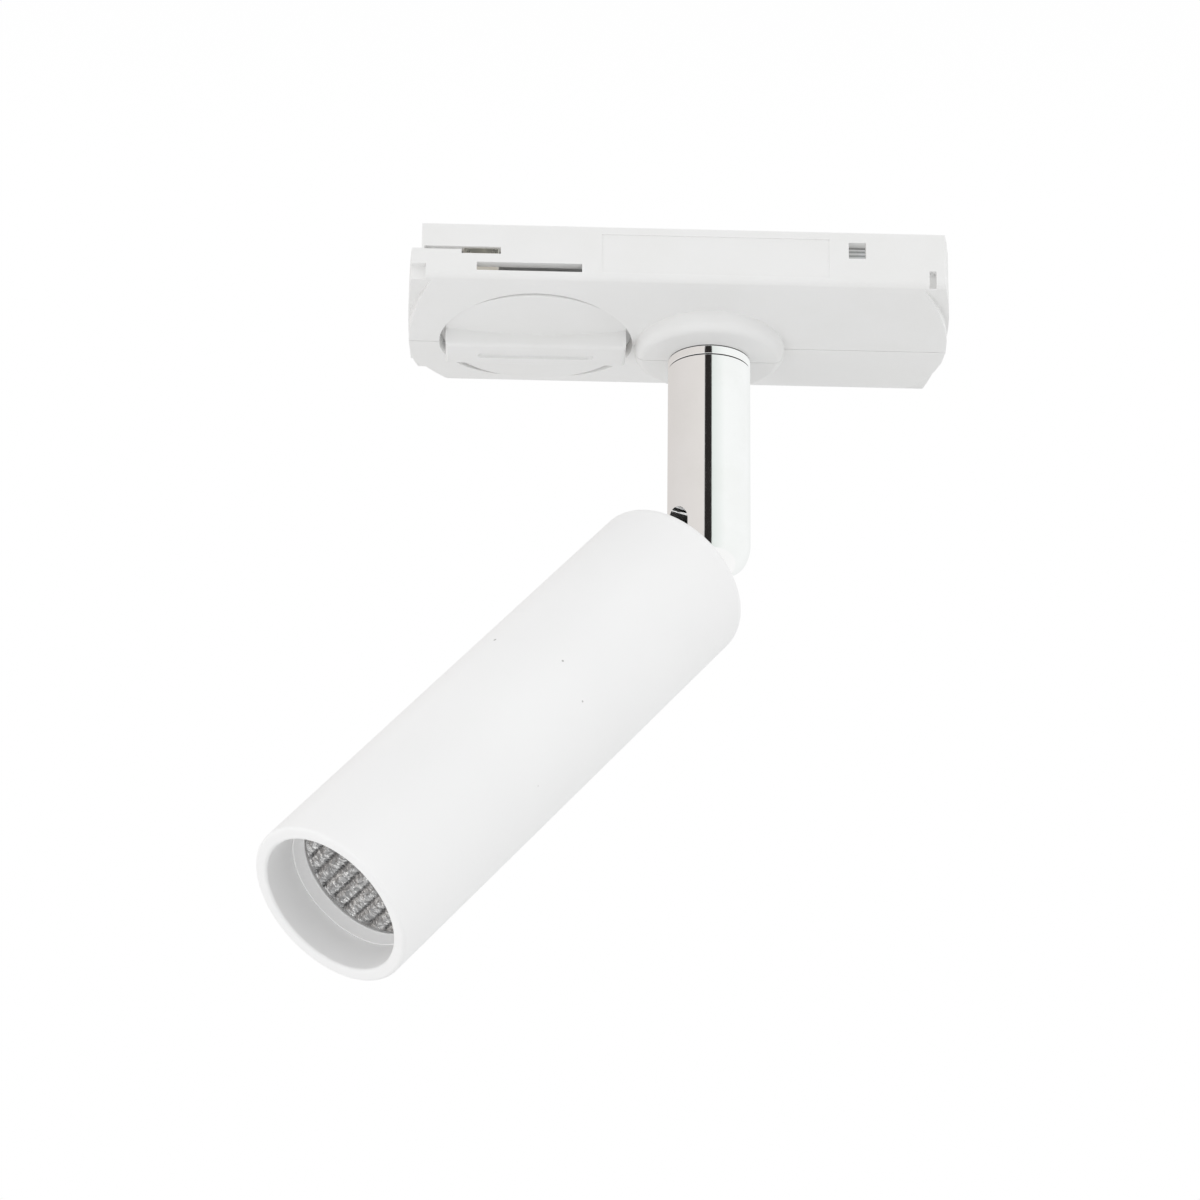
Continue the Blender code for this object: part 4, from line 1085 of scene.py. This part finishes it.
@dataclass
class SpotHead(SubAssembly):
    """Powder-coated can with its bracket, optics and driver."""

    body: str = "head"
    turn: float = 214.0
    tilt: float = 47.0
    radius: float = 12.075
    bore: float = 10.22
    rear: float = 9.22
    front: float = 89.88
    rear_edge: float = 1.6
    lip: float = 0.5
    rear_wall: float = 2.0
    rear_hole: float = 4.6
    screw_hole: float = 0.9
    screw_spread: float = 7.2
    steps: int = 224
    face: float = 82.28
    lens_radius: float = 9.55
    ring_seat: float = 0.34
    ring_length: float = 1.76
    ring_outer: float = 10.14
    ring_opening: float = 9.46
    lens_depth: float = 1.0
    lens_cone: tuple[Point, ...] = ((7.9, 1.0), (7.9, 2.5), (5.9, 10.0), (4.5, 13.7))
    row_pitch: float = 1.95
    row_angle: float = -78.8
    row_rise: float = 0.45
    crinkle: float = 0.1
    cells: int = 150

    def make(self) -> None:
        """Builds and dresses the head's pieces."""
        pivot = joint_place("head_tilt")[0]
        turn = Matrix.Rotation(math.radians(self.turn), 4, "Z")
        tilt = Matrix.Rotation(math.radians(90 + self.tilt), 4, "Y")
        self.place = Matrix.Translation(pivot) @ (turn @ tilt)
        self.can()
        self.lens()
        self.retaining_ring()
        # Black moulding on the bracket: painted shade, standing in for the shade on its tongue in the fork slot.
        self.soften_node("tilt_bracket", "black_plastic", 0.2).visible_glossy = True
        self.dress("steel", "bracket_screw_1", "bracket_screw_2")
        self.dress("black_plastic", "insulating_sleeve", "driver_capacitor")
        self.dress("inner_plastic", "lens_holder")
        self.dress("circuit_board", "driver_board", "led_board")
        self.dress("copper_winding", "driver_choke")
        self.dress("aluminium", "heat_sink")
        self.dress("emitter", "led_emitter")
        self.dress("lead_white", "led_lead")

    def can(self) -> None:
        """Round can with a rounded rear edge, a flat lip and a bore."""
        rear = arc((self.radius - self.rear_edge, self.rear + self.rear_edge), self.rear_edge, -90, 0, 16)
        wall = [(self.radius, self.rear + 20.0 * step) for step in (1, 2, 3)]
        lip = arc((self.radius - self.lip, self.front - self.lip), self.lip, 0, 90, 8)
        lip += arc((self.bore + self.lip, self.front - self.lip), self.lip, 90, 180, 8)
        inside = self.rear + self.rear_wall
        outline = [(self.rear_hole, self.rear), *rear, *wall, *lip]
        outline += [(self.bore, self.front - 9.0), (self.bore, inside), (self.rear_hole, inside)]
        piece = Workpiece().turn(outline, self.steps).move(self.place).finish("head_can")
        holes = [self.hole(f"rear_hole_{number}", side * self.screw_spread) for number, side in enumerate((-1, 1))]
        carve(piece, *holes)
        self.fit(piece, "white_paint", "head_tube")

    def hole(self, name: str, across: float) -> bpy.types.Object:
        """Blind hole for a bracket screw, from inside the can.

        Args:
            name: its name.
            across: its distance from the middle, in millimetres.

        Returns:
            The cutting shape.
        """
        depth = self.rear_wall + 0.5
        spot = self.place @ shift(0, across, self.rear + 0.5 + depth / 2)
        return Workpiece().rod(self.screw_hole, depth, 24).move(spot).finish(name)

    def lens(self) -> None:
        """Lens with rows of pressed, crinkled facets on its face."""
        shape = Workpiece()
        bm = shape.bm
        bmesh.ops.create_grid(bm, x_segments=self.cells, y_segments=self.cells, size=self.lens_radius * MM)
        limit = (self.lens_radius - 0.12) * MM
        outside = [face for face in bm.faces if face.calc_center_median().length > limit]
        bmesh.ops.delete(bm, geom=outside, context="FACES")
        turn = math.radians(self.row_angle)
        along, across = Vector((math.cos(turn), math.sin(turn))), Vector((-math.sin(turn), math.cos(turn)))
        # row_shade carries the painted shade of the creases between rows to the lens finish.
        shade = bm.verts.layers.float.new("row_shade")
        for vert in bm.verts:
            spot = Vector((vert.co.x, vert.co.y)) / MM
            vert[shade] = self.swell(spot.dot(across))
            vert.co.z = (self.face + self.relief(spot.dot(along), spot.dot(across))) * MM
        rim = [vert for vert in bm.verts if vert.is_boundary]
        for vert in rim:
            flat = Vector((vert.co.x, vert.co.y)).normalized() * self.lens_radius * MM
            vert.co = (flat.x, flat.y, (self.face - 0.1) * MM)
        edges = [edge for edge in bm.edges if edge.is_boundary]
        for radius, drop in ((self.lens_radius, self.lens_depth), *self.lens_cone):
            wall = bmesh.ops.extrude_edge_only(bm, edges=edges)
            for vert in new_verts(wall):
                flat = Vector((vert.co.x, vert.co.y)).normalized() * radius * MM
                vert.co = (flat.x, flat.y, (self.face - drop) * MM)
            edges = [item for item in wall["geom"] if isinstance(item, bmesh.types.BMEdge) and item.is_boundary]
        bmesh.ops.holes_fill(bm, edges=edges)
        piece = shape.outward().move(self.place).finish("lens_faceted", 12)
        self.fit(piece, "lens_grey", "lens", even=False)

    def swell(self, across: float) -> float:
        """How far a point is from the creases between the rows, from 0 to 1."""
        row = across / self.row_pitch + 0.25
        share = row - math.floor(row)
        return math.sin(math.pi * share) ** 0.6

    def relief(self, along: float, across: float) -> float:
        """Height of the lens face under its top plane.

        Args:
            along: distance along the rows, in millimetres.
            across: distance across the rows, in millimetres.

        Returns:
            The height, never above zero.
        """
        row = math.floor(across / self.row_pitch + 0.25)
        pillow = 0.5 + 0.5 * abs(math.sin(math.pi * along / self.row_pitch + 1.3 * row))
        rough = noise.noise(Vector((along * 1.6, across * 2.2, 3.7)))
        rough += 0.6 * noise.noise(Vector((along * 4.3, across * 4.9, 9.1)))
        row_height = self.row_rise * (self.swell(across) * (0.72 + 0.28 * pillow) - 1.0)
        return min(row_height + self.crinkle * (rough - 1.0), -0.01)

    def retaining_ring(self) -> None:
        """White ring that holds the lens, with a sloped inner edge."""
        low = self.face + self.ring_seat
        high = low + self.ring_length
        outline = [(self.ring_opening, low), (self.ring_outer, low), (self.ring_outer, high)]
        outline += [(self.ring_outer - 0.2, high), (self.ring_opening + 0.12, low + 0.3), (self.ring_opening, low + 0.12)]
        piece = Workpiece().turn(outline, self.steps).move(self.place).finish("lens_ring")
        self.fit(piece, "white_paint", "retaining_ring", even=False)


# ---------------------------------------------------------------- studio


@dataclass
class Studio:
    """Pale floor, soft light and the camera."""

    floor_drop: float = 0.75
    floor_size: float = 6.0
    lens: float = 122.375
    camera_place: tuple[float, float, float] = (-0.02834, -0.53864, -0.26497)
    camera_right: tuple[float, float, float] = (0.99953, -0.02842, 0.01139)
    camera_up: tuple[float, float, float] = (-0.02109, -0.36969, 0.92892)
    daylight: float = 1.0
    overhead: float = 0.72
    key_power: float = 0.55
    fill_power: float = 0.9
    tent_radius: float = 1.4
    tent_height: float = 3.6
    tent_middle: float = 1.06
    tent_tones: tuple[tuple[float, Colour], ...] = (
        (0.0, (0.70, 0.668, 0.646)),
        (0.25, (0.74, 0.71, 0.69)),
        (0.45, (0.775, 0.745, 0.72)),
        (0.4565, (0.80, 0.79, 0.78)),
        (0.4585, (0.024, 0.022, 0.021)),
        (0.5115, (0.024, 0.022, 0.021)),
        (0.5135, (0.80, 0.85, 0.82)),
        (0.62, (0.97, 0.99, 0.98)),
        (0.85, (0.96, 0.975, 0.97)),
        (1.0, (0.86, 0.88, 0.87)),
    )

    def make(self) -> None:
        """Sets up everything round the object."""
        self.camera()
        self.world()
        self.floor()
        self.softbox("key_box", (0.9, -0.8, 0.35), 0.8, self.key_power)
        self.softbox("low_box", (-0.5, -0.42, -0.62), 0.45, self.fill_power)
        self.tent()

    def camera(self) -> None:
        """Camera at the chosen viewing angle, with everything in focus."""
        made = bpy.data.cameras.new("view")
        made.lens, made.sensor_width = self.lens, 36.0
        made.clip_start, made.clip_end = 0.01, 50.0
        right, up = Vector(self.camera_right), Vector(self.camera_up)
        turn = Matrix((right, up, right.cross(up))).transposed().to_quaternion()
        eye = bpy.data.objects.new("view", made)
        eye.matrix_world = Matrix.Translation(self.camera_place) @ turn.to_matrix().to_4x4()
        bpy.context.scene.collection.objects.link(eye)
        bpy.context.scene.camera = eye

    def world(self) -> None:
        """White surroundings, a little dimmer overhead."""
        made = bpy.data.worlds.new("white_studio")
        made.use_nodes = True
        wiring = Wiring(made.node_tree)
        where = wiring.add("TexCoord").outputs["Generated"]
        up = wiring.add("SeparateXYZ", None, Vector=where).outputs["Z"]
        level = wiring.band(up, 0.45, 1.0, self.daylight, self.overhead)
        sky = wiring.add("Background", None, Color=WHITE, Strength=level)
        wiring.add("OutputWorld", None, Surface=sky.outputs[0])
        bpy.context.scene.world = made
        bpy.context.scene.view_settings.view_transform = "Standard"

    def floor(self) -> None:
        """Plain pale floor, well under the lamp."""
        shape = Workpiece()
        bmesh.ops.create_grid(shape.bm, x_segments=8, y_segments=8, size=self.floor_size)
        piece = shape.move(Matrix.Translation((0, 0, -self.floor_drop))).finish("floor")
        made, wiring = blank("pale_floor")
        cloud = wiring.add("TexNoise", None, Vector=wiring.place(), Scale=3.0, Detail=3.0)
        tone = wiring.blend(cloud.outputs[0], (0.84, 0.84, 0.84), (0.8, 0.8, 0.8))
        shader = wiring.add("BsdfPrincipled", None, Base_Color=tone, Roughness=0.9)
        wiring.add("OutputMaterial", None, Surface=shader.outputs[0])
        piece.data.materials.append(made)
        piece.visible_glossy = False

    def softbox(self, name: str, place: Sequence[float], size: float, power: float) -> None:
        """Square area light that faces the object.

        Args:
            name: its name.
            place: where it stands, in metres.
            size: its side, in metres.
            power: its power, in watts.
        """
        made = bpy.data.lights.new(name, "AREA")
        made.shape, made.size, made.energy = "SQUARE", size, power
        lamp = bpy.data.objects.new(name, made)
        lamp.location = place
        lamp.rotation_euler = (-Vector(place)).to_track_quat("-Z", "Y").to_euler()
        lamp.visible_camera = lamp.visible_glossy = False
        bpy.context.scene.collection.objects.link(lamp)

    def tent(self) -> None:
        """Round tent that only mirrors see: warm grey on the left, white on the right, a dark gap between."""
        shape = Workpiece()
        radius = self.tent_radius
        bmesh.ops.create_cone(
            shape.bm, cap_ends=False, segments=96, radius1=radius, radius2=radius, depth=self.tent_height
        )
        piece = shape.move(Matrix.Translation((0, 0, self.tent_middle))).finish("light_tent")
        made, wiring = blank("tent_glow")
        spot = wiring.add("SeparateXYZ", None, Vector=wiring.add("TexCoord").outputs["Object"]).outputs
        angle = wiring.maths("ARCTAN2", spot["X"], wiring.maths("MULTIPLY", spot["Y"], -1.0))
        ramp = wiring.add("ValToRGB", None, Fac=wiring.maths("MULTIPLY_ADD", angle, 1.0 / math.tau, 0.5))
        stops = ramp.color_ramp.elements
        for place, tone in self.tent_tones[1:-1]:
            stops.new(place).color = (*tone, 1.0)
        stops[0].color, stops[-1].color = (*self.tent_tones[0][1], 1.0), (*self.tent_tones[-1][1], 1.0)
        glow = wiring.add("Emission", None, Color=ramp.outputs[0], Strength=1.0)
        wiring.add("OutputMaterial", None, Surface=glow.outputs[0])
        piece.data.materials.append(made)
        piece.visible_camera = piece.visible_diffuse = False
        piece.visible_shadow = piece.visible_transmission = False


def main() -> None:
    """Sets up the studio and builds the sub-assemblies in order."""
    logging.basicConfig(level=logging.INFO, format="%(message)s")
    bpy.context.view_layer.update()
    Studio().make()
    palette = Palette()
    for kind in (AdapterHousing, LockDial, TrackContacts, ChromeStem, SpotHead):
        part = kind(palette)
        part.make()
        log.info("%s: %d pieces", type(part).__name__, part.count)


if __name__ == "__main__":
    main()
